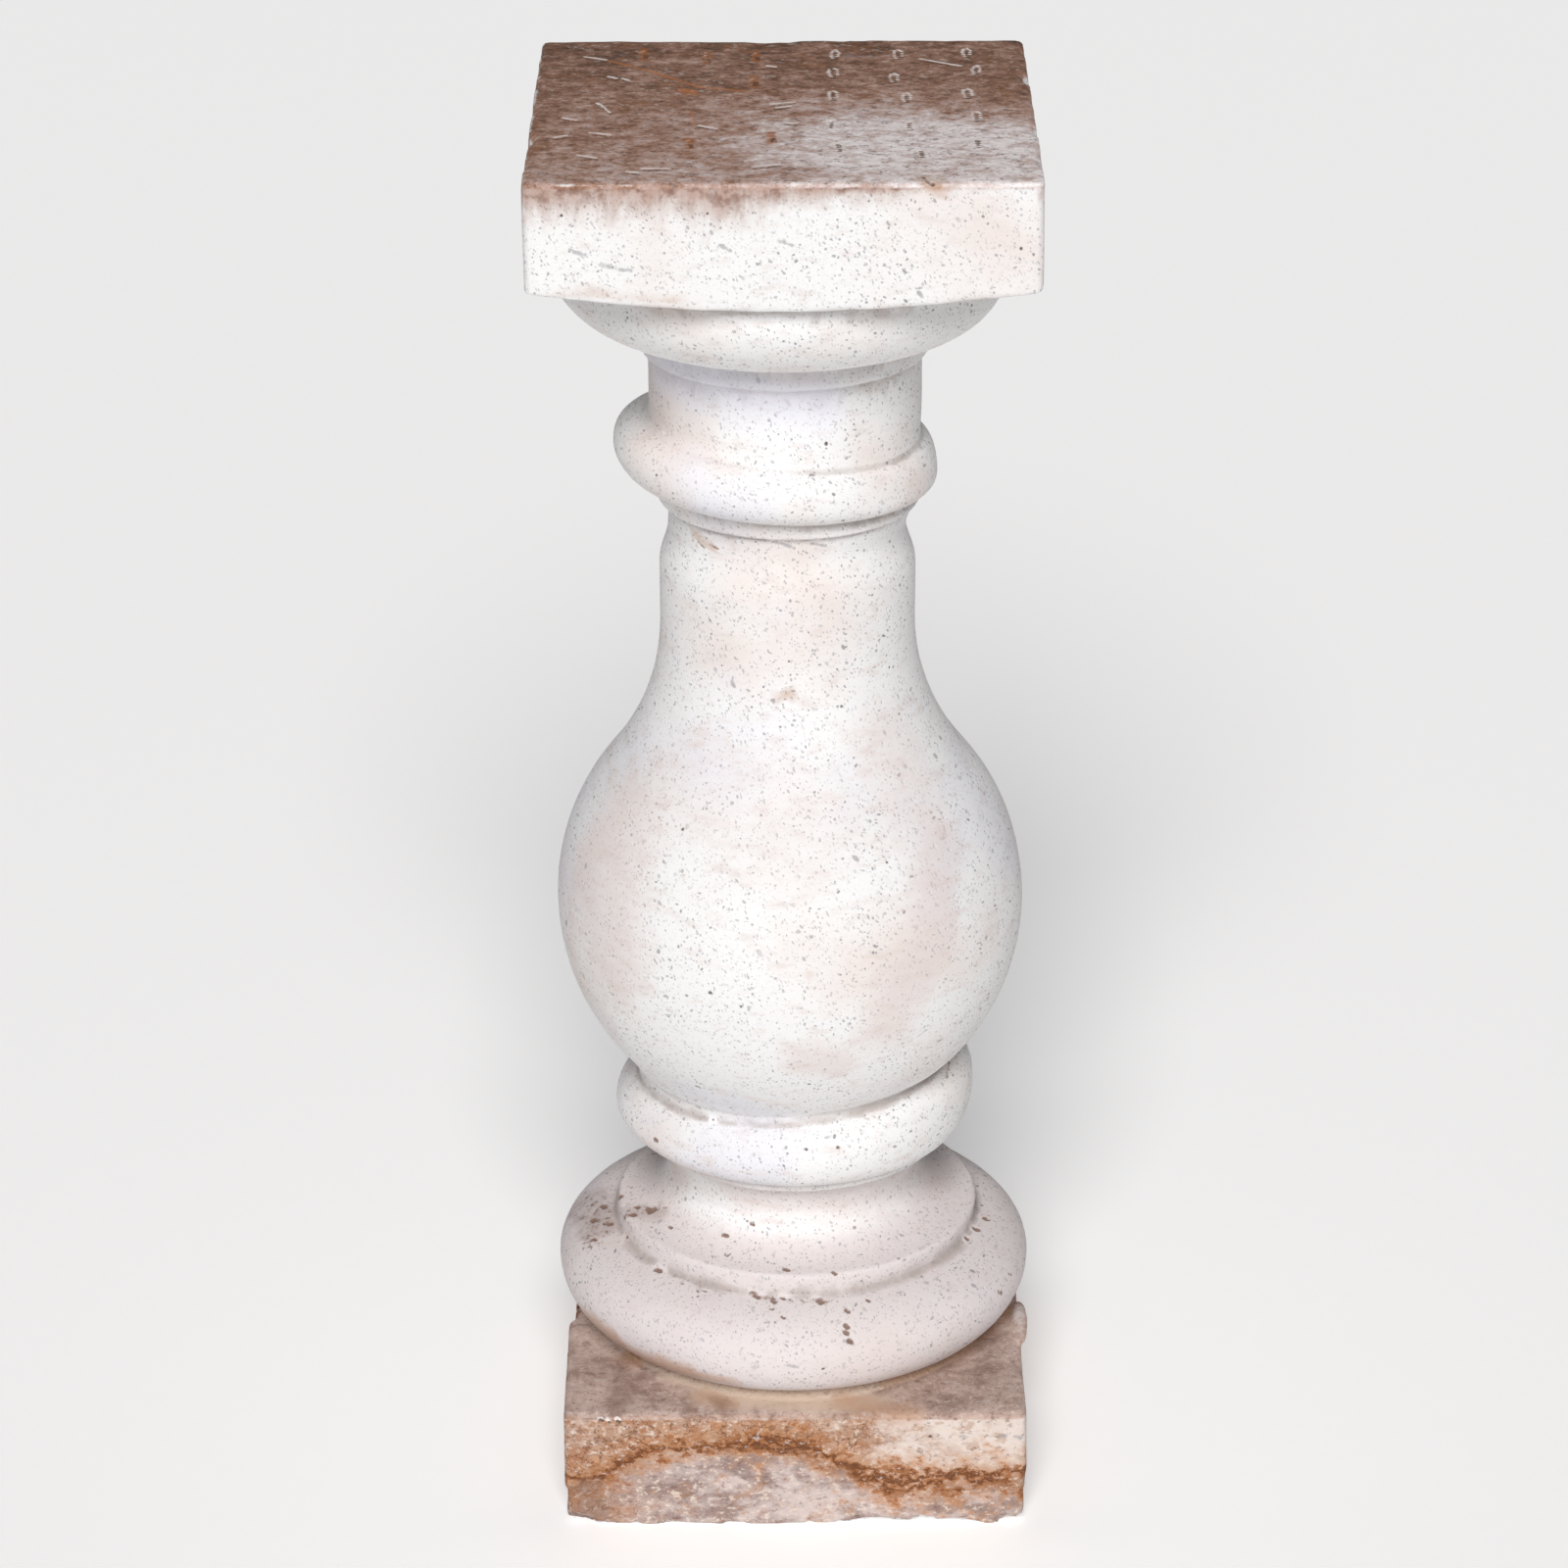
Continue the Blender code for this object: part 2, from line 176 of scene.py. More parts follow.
class StoneGrain:
    """Smooth seeded noise through space, from -1 to 1, worked out for many points at once."""

    CELLS = 64

    def __init__(self, seed: int) -> None:
        """Draw the random values at the lattice points."""
        source = np.random.default_rng(seed)
        self.values = source.uniform(-1.0, 1.0, (self.CELLS,) * 3)

    def at(self, points: np.ndarray, size: float) -> np.ndarray:
        """Noise at points.

        Args:
            points: Places in metres, one a row.
            size: Width of one bump in metres.

        Returns:
            One value a point.
        """
        places = (points / size).T
        corner = np.floor(places)
        share = places - corner
        share = share * share * (3 - 2 * share)
        corner = corner.astype(np.int64)
        cells = (corner % self.CELLS, (corner + 1) % self.CELLS)
        weights = (1 - share, share)
        total = np.zeros(len(points))
        for i, j, k in np.ndindex(2, 2, 2):
            weight = weights[i][0] * weights[j][1] * weights[k][2]
            total += weight * self.values[cells[i][0], cells[j][1], cells[k][2]]
        return total

    def layered(self, points: np.ndarray, size: float, layers: int) -> np.ndarray:
        """Noise with finer noise laid over it, each layer half as large and half as strong.

        Args:
            points: Places in metres, one a row.
            size: Width of the largest bumps in metres.
            layers: How many sizes of bump.

        Returns:
            One value a point, about -1 to 1.
        """
        total = np.zeros(len(points))
        for layer in range(layers):
            shift = layer * 0.37
            total += self.at(points + shift, size / 2 ** layer) / 2 ** layer
        return total / (2 - 2 ** (1 - layers))


@dataclass(frozen=True)
class Camera:
    """The view of the photograph, found by fitting the block corners and the outline."""

    place: Triple = (-0.00357, -2.34199, 1.39606)
    pitch: float = math.pi / 2 - 0.4176
    roll: float = -0.0031
    lens_mm: float = 118.74
    film_mm: float = 36.0
    photo_px: int = 1600

    def turn(self) -> Matrix:
        """The camera's rotation as a 3 by 3 matrix."""
        return Matrix.Rotation(self.pitch, 3, "X") @ Matrix.Rotation(self.roll, 3, "Z")

    def add(self) -> None:
        """Create the camera and make it the scene's."""
        data = bpy.data.cameras.new("photo_view")
        data.lens = self.lens_mm
        data.sensor_width = self.film_mm
        data.clip_start = 0.05
        data.clip_end = 60.0
        camera = bpy.data.objects.new("photo_view", data)
        camera.matrix_world = Matrix.Translation(self.place) @ self.turn().to_4x4()
        bpy.context.scene.collection.objects.link(camera)
        bpy.context.scene.camera = camera

    def sight(self, pixel: Point) -> Vector:
        """The direction in which a photo pixel looks.

        Args:
            pixel: A place in the photograph, from its top left corner.

        Returns:
            The direction, one long.
        """
        scale = self.lens_mm / self.film_mm * self.photo_px
        middle = self.photo_px / 2
        ray = Vector(((pixel[0] - middle) / scale, (middle - pixel[1]) / scale, -1.0))
        return (self.turn() @ ray).normalized()


class Shape:
    """Ways to make and join the plain bodies of the casting."""

    ARC_POINTS = 14
    SMALL_POINTS = 10

    @classmethod
    def quarter(cls, start: Point, end: Point, upright_start: bool) -> list[Point]:
        """Points of a quarter ellipse from start to end, leaving upright or level at the start.

        Args:
            start: Its first point.
            end: Its last point.
            upright_start: Whether it sets off upright, and so ends level.

        Returns:
            The points, with both ends.
        """
        points = []
        for index in range(cls.ARC_POINTS + 1):
            turn = math.pi / 2 * index / cls.ARC_POINTS
            if upright_start:
                radius = end[0] + (start[0] - end[0]) * math.cos(turn)
                height = start[1] + (end[1] - start[1]) * math.sin(turn)
            else:
                radius = start[0] + (end[0] - start[0]) * math.sin(turn)
                height = end[1] + (start[1] - end[1]) * math.cos(turn)
            points.append((radius, height))
        return points

    @classmethod
    def ease(cls, start: Point, end: Point) -> list[Point]:
        """Points of a soft S curve from start to end, upright at both ends.

        Args:
            start: Its first point.
            end: Its last point.

        Returns:
            The points, with both ends.
        """
        points = []
        for index in range(cls.SMALL_POINTS + 1):
            share = index / cls.SMALL_POINTS
            blend = (1 - math.cos(math.pi * share)) / 2
            points.append((start[0] + (end[0] - start[0]) * blend,
                           start[1] + (end[1] - start[1]) * share))
        return points

    @classmethod
    def roll(cls, start: Point, widest: Point, end: Point) -> list[Point]:
        """Points of a round moulding that swells from start to its widest point and back."""
        return cls.quarter(start, widest, False) + cls.quarter(widest, end, True)

    @staticmethod
    def arc(centre: Point, radius: float, first: float, last: float, count: int) -> list[Point]:
        """Points of a circle arc in the plane of the profile."""
        angles = [first + (last - first) * index / count for index in range(count + 1)]
        return [(centre[0] + radius * math.cos(a), centre[1] + radius * math.sin(a)) for a in angles]

    @staticmethod
    def body(name: str, mesh: bpy.types.Mesh) -> bpy.types.Object:
        """A new object for a mesh, in the scene.

        Args:
            name: The object's name.
            mesh: Its mesh.

        Returns:
            The object.
        """
        made = bpy.data.objects.new(name, mesh)
        bpy.context.scene.collection.objects.link(made)
        return made

    @classmethod
    def turned(cls, name: str, points: list[Point], steps: int) -> bpy.types.Object:
        """A body turned from a profile that runs top to bottom at +X.

        Args:
            name: Its name.
            points: The profile: radius and height in metres.
            steps: How many facets go round it.

        Returns:
            The closed body.
        """
        mesh = bpy.data.meshes.new(name)
        kept = [points[0]]
        kept += [p for p, before in zip(points[1:], points) if math.dist(p, before) > 0.02 * MM]
        corners = [(radius, 0.0, height) for radius, height in kept]
        mesh.from_pydata(corners, [(i, i + 1) for i in range(len(corners) - 1)], [])
        made = cls.body(name, mesh)
        screw = made.modifiers.new("Turn", "SCREW")
        screw.axis = "Z"
        screw.steps = screw.render_steps = steps
        screw.use_merge_vertices = True
        screw.merge_threshold = 0.05 * MM
        screw.use_normal_calculate = True
        cls.settle(made)
        return made

    @staticmethod
    def settle(made: bpy.types.Object) -> None:
        """Replace an object's mesh and modifiers by the shape they make.

        Args:
            made: The object.
        """
        depsgraph = bpy.context.evaluated_depsgraph_get()
        mesh = bpy.data.meshes.new_from_object(made.evaluated_get(depsgraph))
        made.modifiers.clear()
        made.data = mesh

    @staticmethod
    def cut(made: bpy.types.Object, tool: bpy.types.Object, operation: str) -> None:
        """Lay an exact Boolean of an object with a tool, which isn't kept once settled.

        Args:
            made: The object.
            tool: What it is cut or joined with.
            operation: Blender's name of the Boolean.
        """
        modifier = made.modifiers.new(operation.title(), "BOOLEAN")
        modifier.object = tool
        modifier.operation = operation
        modifier.solver = "EXACT"

    @classmethod
    def eased_block(cls, name: str, width: float, low: float, high: float,
                    corner_round: float, arris_round: float) -> bpy.types.Object:
        """A square block with rounded upright corners and softly broken level arrises.

        Args:
            name: Its name.
            width: Width of both sides in metres.
            low: Height of its underside.
            high: Height of its top.
            corner_round: Radius of the upright corners.
            arris_round: Radius of the level arrises.

        Returns:
            The block.
        """
        mesh = bpy.data.meshes.new(name)
        shape = bmesh.new()
        bmesh.ops.create_cube(shape, size=1.0)
        for vertex in shape.verts:
            vertex.co = Vector((vertex.co.x * width, vertex.co.y * width,
                                (low + high) / 2 + vertex.co.z * (high - low)))
        half = (high - low) / 2
        upright = [e for e in shape.edges if abs(e.verts[0].co.z - e.verts[1].co.z) > half]
        bmesh.ops.bevel(shape, geom=upright, offset=corner_round, segments=6, profile=0.5,
                        affect="EDGES", clamp_overlap=False)
        level = [e for e in shape.edges
                 if len(e.link_faces) == 2 and abs(e.calc_face_angle()) > 1.0]
        bmesh.ops.bevel(shape, geom=level, offset=arris_round, segments=3, profile=0.5,
                        affect="EDGES", clamp_overlap=False)
        shape.to_mesh(mesh)
        shape.free()
        return cls.body(name, mesh)


@dataclass(frozen=True)
class TurnedShaft:
    """The turned mouldings between the two blocks, sizes in metres from the ground up."""

    foot_height: float = 0.0652
    foot_half: float = 0.1157
    curb_height: float = 0.0038
    curb_out: float = 0.0090
    torus_overhang: float = 0.0045
    torus_under_height: float = 0.0284
    torus_over_height: float = 0.0215
    ring_set_in: float = 0.0285
    ring_height: float = 0.0113
    ring_ease: float = 0.0016
    scotia_sweep_height: float = 0.0215
    scotia_neck_height: float = 0.0170
    scotia_depth: float = 0.0130
    scotia_lip: float = 0.0030
    lower_fillet_height: float = 0.0052
    lower_fillet_set_in: float = 0.0015
    lower_astragal_under_height: float = 0.0172
    lower_astragal_over_height: float = 0.0158
    lower_astragal_out: float = 0.0140
    belly_quirk_height: float = 0.0058
    belly_foot_radius: float = 0.0780
    belly_radius: float = 0.1160
    shoulder_height: float = 0.1500
    throat_radius: float = 0.0622
    throat_height: float = 0.0280
    scoop_upper_height: float = 0.0136
    scoop_lower_height: float = 0.0204
    scoop_depth: float = 0.0046
    scoop_flare: float = 0.0015
    upper_fillet_height: float = 0.0090
    upper_fillet_step: float = 0.0058
    upper_astragal_under_height: float = 0.0122
    upper_astragal_over_height: float = 0.0140
    upper_astragal_out: float = 0.0146
    neck_radius: float = 0.0655
    neck_height: float = 0.0412
    neck_cove_height: float = 0.0110
    neck_cove_out: float = 0.0035
    cap_fillet_height: float = 0.0126
    cap_fillet_step: float = 0.0037
    ovolo_height: float = 0.0305
    ovolo_lip_height: float = 0.0122
    ovolo_set_back: float = 0.0085
    cap_half: float = 0.11765
    cap_middle_height: float = 0.0608
    lean: float = 0.0045
    embed: float = 0.0120
    steps: int = 288
    drifts: tuple[Drift, ...] = (
        Drift("ovolo_top", 0.0366, 0.0, -0.0022, 0.0),
        Drift("upper_astragal_widest", 0.0280, -0.0080, -0.0050, -0.25),
        Drift("scoop_top", 0.0144, 0.0, 0.0022, 0.0),
        Drift("lower_astragal_widest", 0.0332, 0.0055, 0.0012, 0.40),
        Drift("ring_top", 0.0203, 0.0, 0.0020, 0.0),
    )

    def levels(self) -> dict[str, float]:
        """Heights of the mouldings above the ground, added up from the foot block.

        Returns:
            Heights in metres by name.
        """
        ball_rise = math.sqrt(self.belly_radius ** 2 - self.belly_foot_radius ** 2)
        order = (
            ("foot_top", self.foot_height),
            ("curb_top", self.curb_height),
            ("torus_widest", self.torus_under_height),
            ("torus_top", self.torus_over_height),
            ("ring_top", self.ring_height),
            ("scotia_waist", self.scotia_sweep_height),
            ("scotia_top", self.scotia_neck_height),
            ("lower_fillet_top", self.lower_fillet_height),
            ("lower_astragal_widest", self.lower_astragal_under_height),
            ("lower_astragal_top", self.lower_astragal_over_height),
            ("belly_foot", self.belly_quirk_height),
            ("belly_middle", ball_rise),
            ("throat", self.shoulder_height),
            ("throat_top", self.throat_height),
            ("scoop_deepest", self.scoop_lower_height),
            ("scoop_top", self.scoop_upper_height),
            ("upper_fillet_top", self.upper_fillet_height),
            ("upper_astragal_widest", self.upper_astragal_under_height),
            ("upper_astragal_top", self.upper_astragal_over_height),
            ("neck_top", self.neck_height),
            ("cap_fillet_top", self.cap_fillet_height),
            ("ovolo_top", self.ovolo_height),
            ("cap_underside", self.ovolo_lip_height),
            ("cap_top", self.cap_middle_height),
        )
        heights = {}
        total = 0.0
        for name, rise in order:
            total += rise
            heights[name] = total
        return heights

    def radii(self) -> dict[str, float]:
        """Radii that neighbouring mouldings share.

        Returns:
            Radii in metres by name.
        """
        scoop = self.throat_radius - self.scoop_depth
        upper_fillet = scoop + self.upper_fillet_step
        lower_fillet = self.belly_foot_radius - self.lower_fillet_set_in
        torus = self.foot_half + self.torus_overhang
        return {
            "ovolo": self.cap_half - self.ovolo_set_back,
            "cap_fillet": self.neck_radius + self.cap_fillet_step,
            "upper_fillet": upper_fillet,
            "upper_astragal": upper_fillet + self.upper_astragal_out,
            "scoop": scoop,
            "lower_fillet": lower_fillet,
            "lower_astragal": lower_fillet + self.lower_astragal_out,
            "scotia": lower_fillet - self.scotia_depth,
            "torus": torus,
            "ring": torus - self.ring_set_in,
            "curb": torus - self.ring_set_in + self.curb_out,
        }

    def upper_profile(self) -> list[Point]:
        """Ovolo, cap fillet, neck, upper astragal and the fillet below it.

        Returns:
            The profile's points, top to bottom.
        """
        z, r = self.levels(), self.radii()
        neck_low = z["upper_astragal_top"] + self.neck_cove_height
        cove_end = (self.neck_radius + self.neck_cove_out, z["upper_astragal_top"])
        widest = (r["upper_astragal"], z["upper_astragal_widest"])
        points = [(0.0, z["cap_underside"] + self.embed)]
        points.append((r["ovolo"], z["cap_underside"] + self.embed))
        points += Shape.quarter((r["ovolo"], z["ovolo_top"]),
                                (r["cap_fillet"], z["cap_fillet_top"]), True)
        points.append((r["cap_fillet"], z["neck_top"]))
        points.append((self.neck_radius, z["neck_top"]))
        points += Shape.quarter((self.neck_radius, neck_low), cove_end, True)
        points += Shape.roll(cove_end, widest, (r["upper_fillet"], z["upper_fillet_top"]))
        points.append((r["upper_fillet"], z["scoop_top"]))
        return points

    def vase_profile(self) -> list[Point]:
        """Scoop, throat, shoulder and belly; the shoulder arc touches the throat and the ball.

        Returns:
            The profile's points, top to bottom.
        """
        z, r = self.levels(), self.radii()
        deepest = (r["scoop"], z["scoop_deepest"])
        points = Shape.ease((r["scoop"] + self.scoop_flare, z["scoop_top"]), deepest)
        points += Shape.ease(deepest, (self.throat_radius, z["throat_top"]))
        reach = self.throat_radius ** 2 + self.shoulder_height ** 2 - self.belly_radius ** 2
        sweep = reach / (2 * (self.belly_radius - self.throat_radius))
        lift = math.asin(self.shoulder_height / (self.belly_radius + sweep))
        drop = math.acos(self.belly_foot_radius / self.belly_radius)
        throat_centre = (self.throat_radius + sweep, z["throat"])
        points += Shape.arc(throat_centre, sweep, math.pi, math.pi + lift, 30)
        points += Shape.arc((0.0, z["belly_middle"]), self.belly_radius, lift, -drop, 60)
        return points

    def lower_profile(self) -> list[Point]:
        """Lower astragal, scotia, ring, torus and the curb that beds it on the foot block.

        Returns:
            The profile's points, top to bottom.
        """
        z, r = self.levels(), self.radii()
        top = (self.belly_foot_radius, z["lower_astragal_top"])
        widest = (r["lower_astragal"], z["lower_astragal_widest"])
        neck = (r["lower_fillet"] - self.scotia_lip, z["scotia_top"])
        waist = (r["scotia"], z["scotia_waist"])
        rim = (r["ring"] - self.ring_ease, z["ring_top"])
        torus = (r["torus"], z["torus_widest"])
        points = Shape.roll(top, widest, (r["lower_fillet"], z["lower_fillet_top"]))
        points.append((r["lower_fillet"], z["scotia_top"]))
        points += Shape.quarter(neck, waist, False)
        points += Shape.quarter(waist, rim, True)
        points += Shape.quarter(rim, (r["ring"], z["ring_top"] - self.ring_ease), False)
        points += Shape.roll((r["ring"], z["torus_top"]), torus, (r["ring"], z["curb_top"]))
        points += Shape.quarter((r["ring"] + self.curb_out / 2, z["curb_top"]),
                                (r["curb"], z["foot_top"]), False)
        points.append((r["curb"], z["foot_top"] - self.embed))
        points.append((0.0, z["foot_top"] - self.embed))
        return points

    def drifted(self, points: np.ndarray) -> np.ndarray:
        """Move turned points off true where the worn mould left them so.

        Args:
            points: Places of the turned body in metres, one a row.

        Returns:
            The places after the drift.
        """
        z = self.levels()
        moved = points.copy()
        radius = np.maximum(np.hypot(points[:, 0], points[:, 1]), 1e-9)
        outside = radius >= self.throat_radius / 2
        toward = np.where(outside, points[:, 0] / radius, 0.0)
        for drift in self.drifts:
            away = points[:, 2] - z[drift.level]
            fade = np.cos(math.pi / 2 * np.minimum(np.abs(away) / drift.reach, 1.0)) ** 2 * toward
            moved[:, 2] += (drift.rise + drift.thicken * away) * fade
            moved[:, :2] *= (1 + drift.swell * fade / radius)[:, None]
        return moved

    def build(self) -> bpy.types.Object:
        """Turn the shaft and let it drift.

        Returns:
            The shaft, with its ends inside the blocks.
        """
        profile = self.upper_profile() + self.vase_profile() + self.lower_profile()
        made = Shape.turned("shaft_blank", profile, self.steps)
        places = np.array([vertex.co for vertex in made.data.vertices], float)
        made.data.vertices.foreach_set("co", self.drifted(places).ravel())
        return made


@dataclass(frozen=True)
class SquareBlock:
    """What the cap and the foot block have in common: their losses and how they are cut."""

    chip_seed: int = 41
    chip_jitter: float = 0.18

    def pebbles(self, name: str, places: tuple[Chip, ...], half: float, low: float,
                high: float) -> bpy.types.Object:
        """One tool that holds uneven pebbles laid along the arrises.

        Args:
            name: Name of the tool.
            places: The chips or lumps.
            half: Half the block's width in metres.
            low: Height of the block's lower arris.
            high: Height of its upper arris.

        Returns:
            The tool's object.
        """
        spread = np.random.default_rng(self.chip_seed)
        mesh = bpy.data.meshes.new(name)
        shape = bmesh.new()
        for chip in places:
            level = high if chip.arris is Arris.TOP else low
            place = {
                Side.FRONT: Vector((chip.along, -half, level)),
                Side.BACK: Vector((chip.along, half, level)),
                Side.LEFT: Vector((-half, chip.along, level)),
                Side.RIGHT: Vector((half, chip.along, level)),
            }[chip.side]
            turn = 0.0 if chip.side in (Side.FRONT, Side.BACK) else math.pi / 2
            around = Matrix.Rotation(turn, 3, "Z")
            pebble = bmesh.ops.create_icosphere(shape, subdivisions=3, radius=1.0)["verts"]
            sway = spread.uniform(0.0, 6.0, 3)
            for vertex in pebble:
                uneven = sum(math.sin(3 * vertex.co[axis] + sway[axis]) for axis in range(3)) / 3
                vertex.co *= 1 + self.chip_jitter * uneven
                vertex.co = place + around @ Vector((vertex.co.x * chip.half_length,
                                                     vertex.co.y * chip.inward,
                                                     vertex.co.z * chip.downward))
        shape.to_mesh(mesh)
        shape.free()
        return Shape.body(name, mesh)


@dataclass(frozen=True)
class CapBlock(SquareBlock):
    """The square cap, bowed underneath because its blank was turned before it was squared."""

    bow: float = 0.0088
    corner_round: float = 0.0045
    arris_round: float = 0.0012
    chips: tuple[Chip, ...] = (
        Chip(Side.RIGHT, 0.050, Arris.TOP, 0.011, 0.0042, 0.0042),
        Chip(Side.RIGHT, -0.036, Arris.TOP, 0.009, 0.0034, 0.0034),
        Chip(Side.LEFT, -0.048, Arris.TOP, 0.008, 0.0036, 0.0034),
        Chip(Side.BACK, -0.004, Arris.TOP, 0.013, 0.0034, 0.0030),
        Chip(Side.FRONT, 0.065, Arris.TOP, 0.006, 0.0025, 0.0022),
    )

    def build(self, shaft: TurnedShaft) -> bpy.types.Object:
        """Square a turned blank off and chip it.

        Args:
            shaft: The shaft that carries it, with the levels they share.

        Returns:
            The cap.
        """
        z = shaft.levels()
        half = shaft.cap_half
        outer = half * math.sqrt(2) + shaft.embed
        slope = self.bow / (half * (math.sqrt(2) - 1))
        inner = shaft.radii()["ovolo"] - shaft.embed
        low = z["cap_underside"]
        profile = [
            (0.0, z["cap_top"] + shaft.embed),
            (outer, z["cap_top"] + shaft.embed),
            (outer, low + (outer - half) * slope),
            (inner, low + (inner - half) * slope),
            (0.0, low + (inner - half) * slope),
        ]
        cap = Shape.eased_block("cap_block", 2 * half, low - shaft.embed * 2, z["cap_top"],
                                self.corner_round, self.arris_round)
        blank = Shape.turned("cap_blank", profile, shaft.steps)
        chips = self.pebbles("cap_chips", self.chips, half, low, z["cap_top"])
        Shape.cut(cap, blank, "INTERSECT")
        Shape.cut(cap, chips, "DIFFERENCE")
        Shape.settle(cap)
        for tool in (blank, chips):
            bpy.data.objects.remove(tool)
        return cap


@dataclass(frozen=True)
class FootBlock(SquareBlock):
    """The square foot block, with its losses and the lump left proud on it."""

    corner_round: float = 0.0040
    arris_round: float = 0.0020
    chips: tuple[Chip, ...] = (
        Chip(Side.LEFT, 0.055, Arris.TOP, 0.078, 0.0085, 0.0420),
        Chip(Side.RIGHT, 0.058, Arris.TOP, 0.015, 0.0036, 0.0032),
        Chip(Side.FRONT, -0.098, Arris.TOP, 0.012, 0.0028, 0.0024),
        Chip(Side.FRONT, -0.112, Arris.BOTTOM, 0.013, 0.0086, 0.0075),
        Chip(Side.FRONT, -0.062, Arris.BOTTOM, 0.009, 0.0032, 0.0028),
        Chip(Side.FRONT, -0.030, Arris.BOTTOM, 0.007, 0.0028, 0.0024),
        Chip(Side.FRONT, 0.040, Arris.BOTTOM, 0.014, 0.0052, 0.0046),
        Chip(Side.FRONT, 0.078, Arris.BOTTOM, 0.018, 0.0046, 0.0040),
        Chip(Side.FRONT, 0.111, Arris.BOTTOM, 0.011, 0.0070, 0.0060),
        Chip(Side.LEFT, -0.020, Arris.BOTTOM, 0.012, 0.0040, 0.0036),
        Chip(Side.RIGHT, 0.064, Arris.BOTTOM, 0.014, 0.0050, 0.0044),
        Chip(Side.BACK, -0.070, Arris.BOTTOM, 0.013, 0.0046, 0.0040),
        Chip(Side.BACK, 0.046, Arris.BOTTOM, 0.010, 0.0036, 0.0032),
    )
    lumps: tuple[Chip, ...] = (
        Chip(Side.RIGHT, -0.026, Arris.TOP, 0.021, 0.0040, 0.0036),
    )

    def build(self, shaft: TurnedShaft) -> bpy.types.Object:
        """Cut the losses from the block and lay the lump on it.

        Args:
            shaft: The shaft that stands on it, with the levels they share.

        Returns:
            The foot block.
        """
        top = shaft.foot_height
        foot = Shape.eased_block("foot_block", 2 * shaft.foot_half, 0.0, top,
                                 self.corner_round, self.arris_round)
        chips = self.pebbles("foot_chips", self.chips, shaft.foot_half, 0.0, top)
        lumps = self.pebbles("foot_lumps", self.lumps, shaft.foot_half, 0.0, top)
        Shape.cut(foot, chips, "DIFFERENCE")
        Shape.cut(foot, lumps, "UNION")
        Shape.settle(foot)
        for tool in (chips, lumps):
            bpy.data.objects.remove(tool)
        return foot


@dataclass(frozen=True)
class Skin:
    """The casting's surface while it is worked: a fine even mesh, with its numbers in arrays."""

    mesh: bpy.types.Mesh

    def places(self) -> np.ndarray:
        """Places of the vertices in metres, one a row.

        Returns:
            The places.
        """
        values = np.zeros(len(self.mesh.vertices) * 3, np.float32)
        self.mesh.vertices.foreach_get("co", values)
        return values.reshape(-1, 3).astype(float)

    def normals(self) -> np.ndarray:
        """Outward directions at the vertices, one a row.

        Returns:
            The directions, each one long.
        """
        values = np.zeros(len(self.mesh.vertices) * 3, np.float32)
        self.mesh.vertex_normals.foreach_get("vector", values)
        return values.reshape(-1, 3).astype(float)

    def move(self, places: np.ndarray) -> None:
        """Put the vertices at new places."""
        self.mesh.vertices.foreach_set("co", places.astype(np.float32).ravel())
        self.mesh.update()

    def averaged(self, values: np.ndarray, rounds: int) -> np.ndarray:
        """Average each vertex's value with its neighbours'.

        Args:
            values: One number or row of numbers a vertex.
            rounds: How many times.

        Returns:
            The averaged values, in the same shape.
        """
        ends = np.zeros(len(self.mesh.edges) * 2, np.int32)
        self.mesh.edges.foreach_get("vertices", ends)
        first, second = ends.reshape(-1, 2).T
        count = len(self.mesh.vertices)
        degree = np.maximum(np.bincount(first, minlength=count)
                            + np.bincount(second, minlength=count), 1)
        columns = values.reshape(count, -1).T.copy()
        for _ in range(rounds):
            for index, column in enumerate(columns):
                total = (np.bincount(first, column[second], count)
                         + np.bincount(second, column[first], count))
                columns[index] = (column + total / degree) / 2
        return columns.T.reshape(values.shape)

    def hollowness(self, rounds: int) -> np.ndarray:
        """How far each vertex lies in a hollow (above 0) or on an edge (below 0), in metres."""
        places = self.places()
        return ((self.averaged(places, rounds) - places) * self.normals()).sum(axis=1)

    def divide(self, groups: list[tuple[np.ndarray, float]]) -> None:
        """Halve the spacing of the mesh where small marks will be pressed in.

        Args:
            groups: Places in metres along each mark, with the distance that counts as near.
        """
        places = self.places()
        near = np.zeros(len(places), bool)
        for spots, reach in groups:
            around = np.abs(places - spots.mean(axis=0)).max(axis=1)
            chosen = np.nonzero(around < np.ptp(spots, axis=0).max() / 2 + reach)[0]
            away = np.linalg.norm(places[chosen, None, :] - spots[None], axis=2).min(axis=1)
            near[chosen[away < reach]] = True
        shape = bmesh.new()
        shape.from_mesh(self.mesh)
        edges = [e for e in shape.edges if near[e.verts[0].index] and near[e.verts[1].index]]
        bmesh.ops.subdivide_edges(shape, edges=edges, cuts=1, use_grid_fill=True)
        shape.to_mesh(self.mesh)
        shape.free()

    def keep(self, name: str, values: np.ndarray) -> None:
        """Store one number a vertex as an attribute that the finish reads."""
        made = self.mesh.attributes.new(name, "FLOAT", "POINT")
        made.data.foreach_set("value", values.astype(np.float32))


@dataclass(frozen=True)
class CastingPlace:
    """Where the shaft's axis and the blocks' faces stand in the frame."""

    shaft: TurnedShaft
    middle: float

    def axis_x(self, heights: np.ndarray) -> np.ndarray:
        """The axis' x at heights, because the casting leans."""
        top = self.shaft.levels()["cap_top"]
        return self.middle + self.shaft.lean * (0.5 - heights / top)

    def from_axis(self, places: np.ndarray) -> np.ndarray:
        """Places with x measured from the leaning axis.

        Args:
            places: Places in the frame, in metres.

        Returns:
            The same places seen from the axis.
        """
        moved = places.copy()
        moved[:, 0] -= self.axis_x(places[:, 2])
        return moved


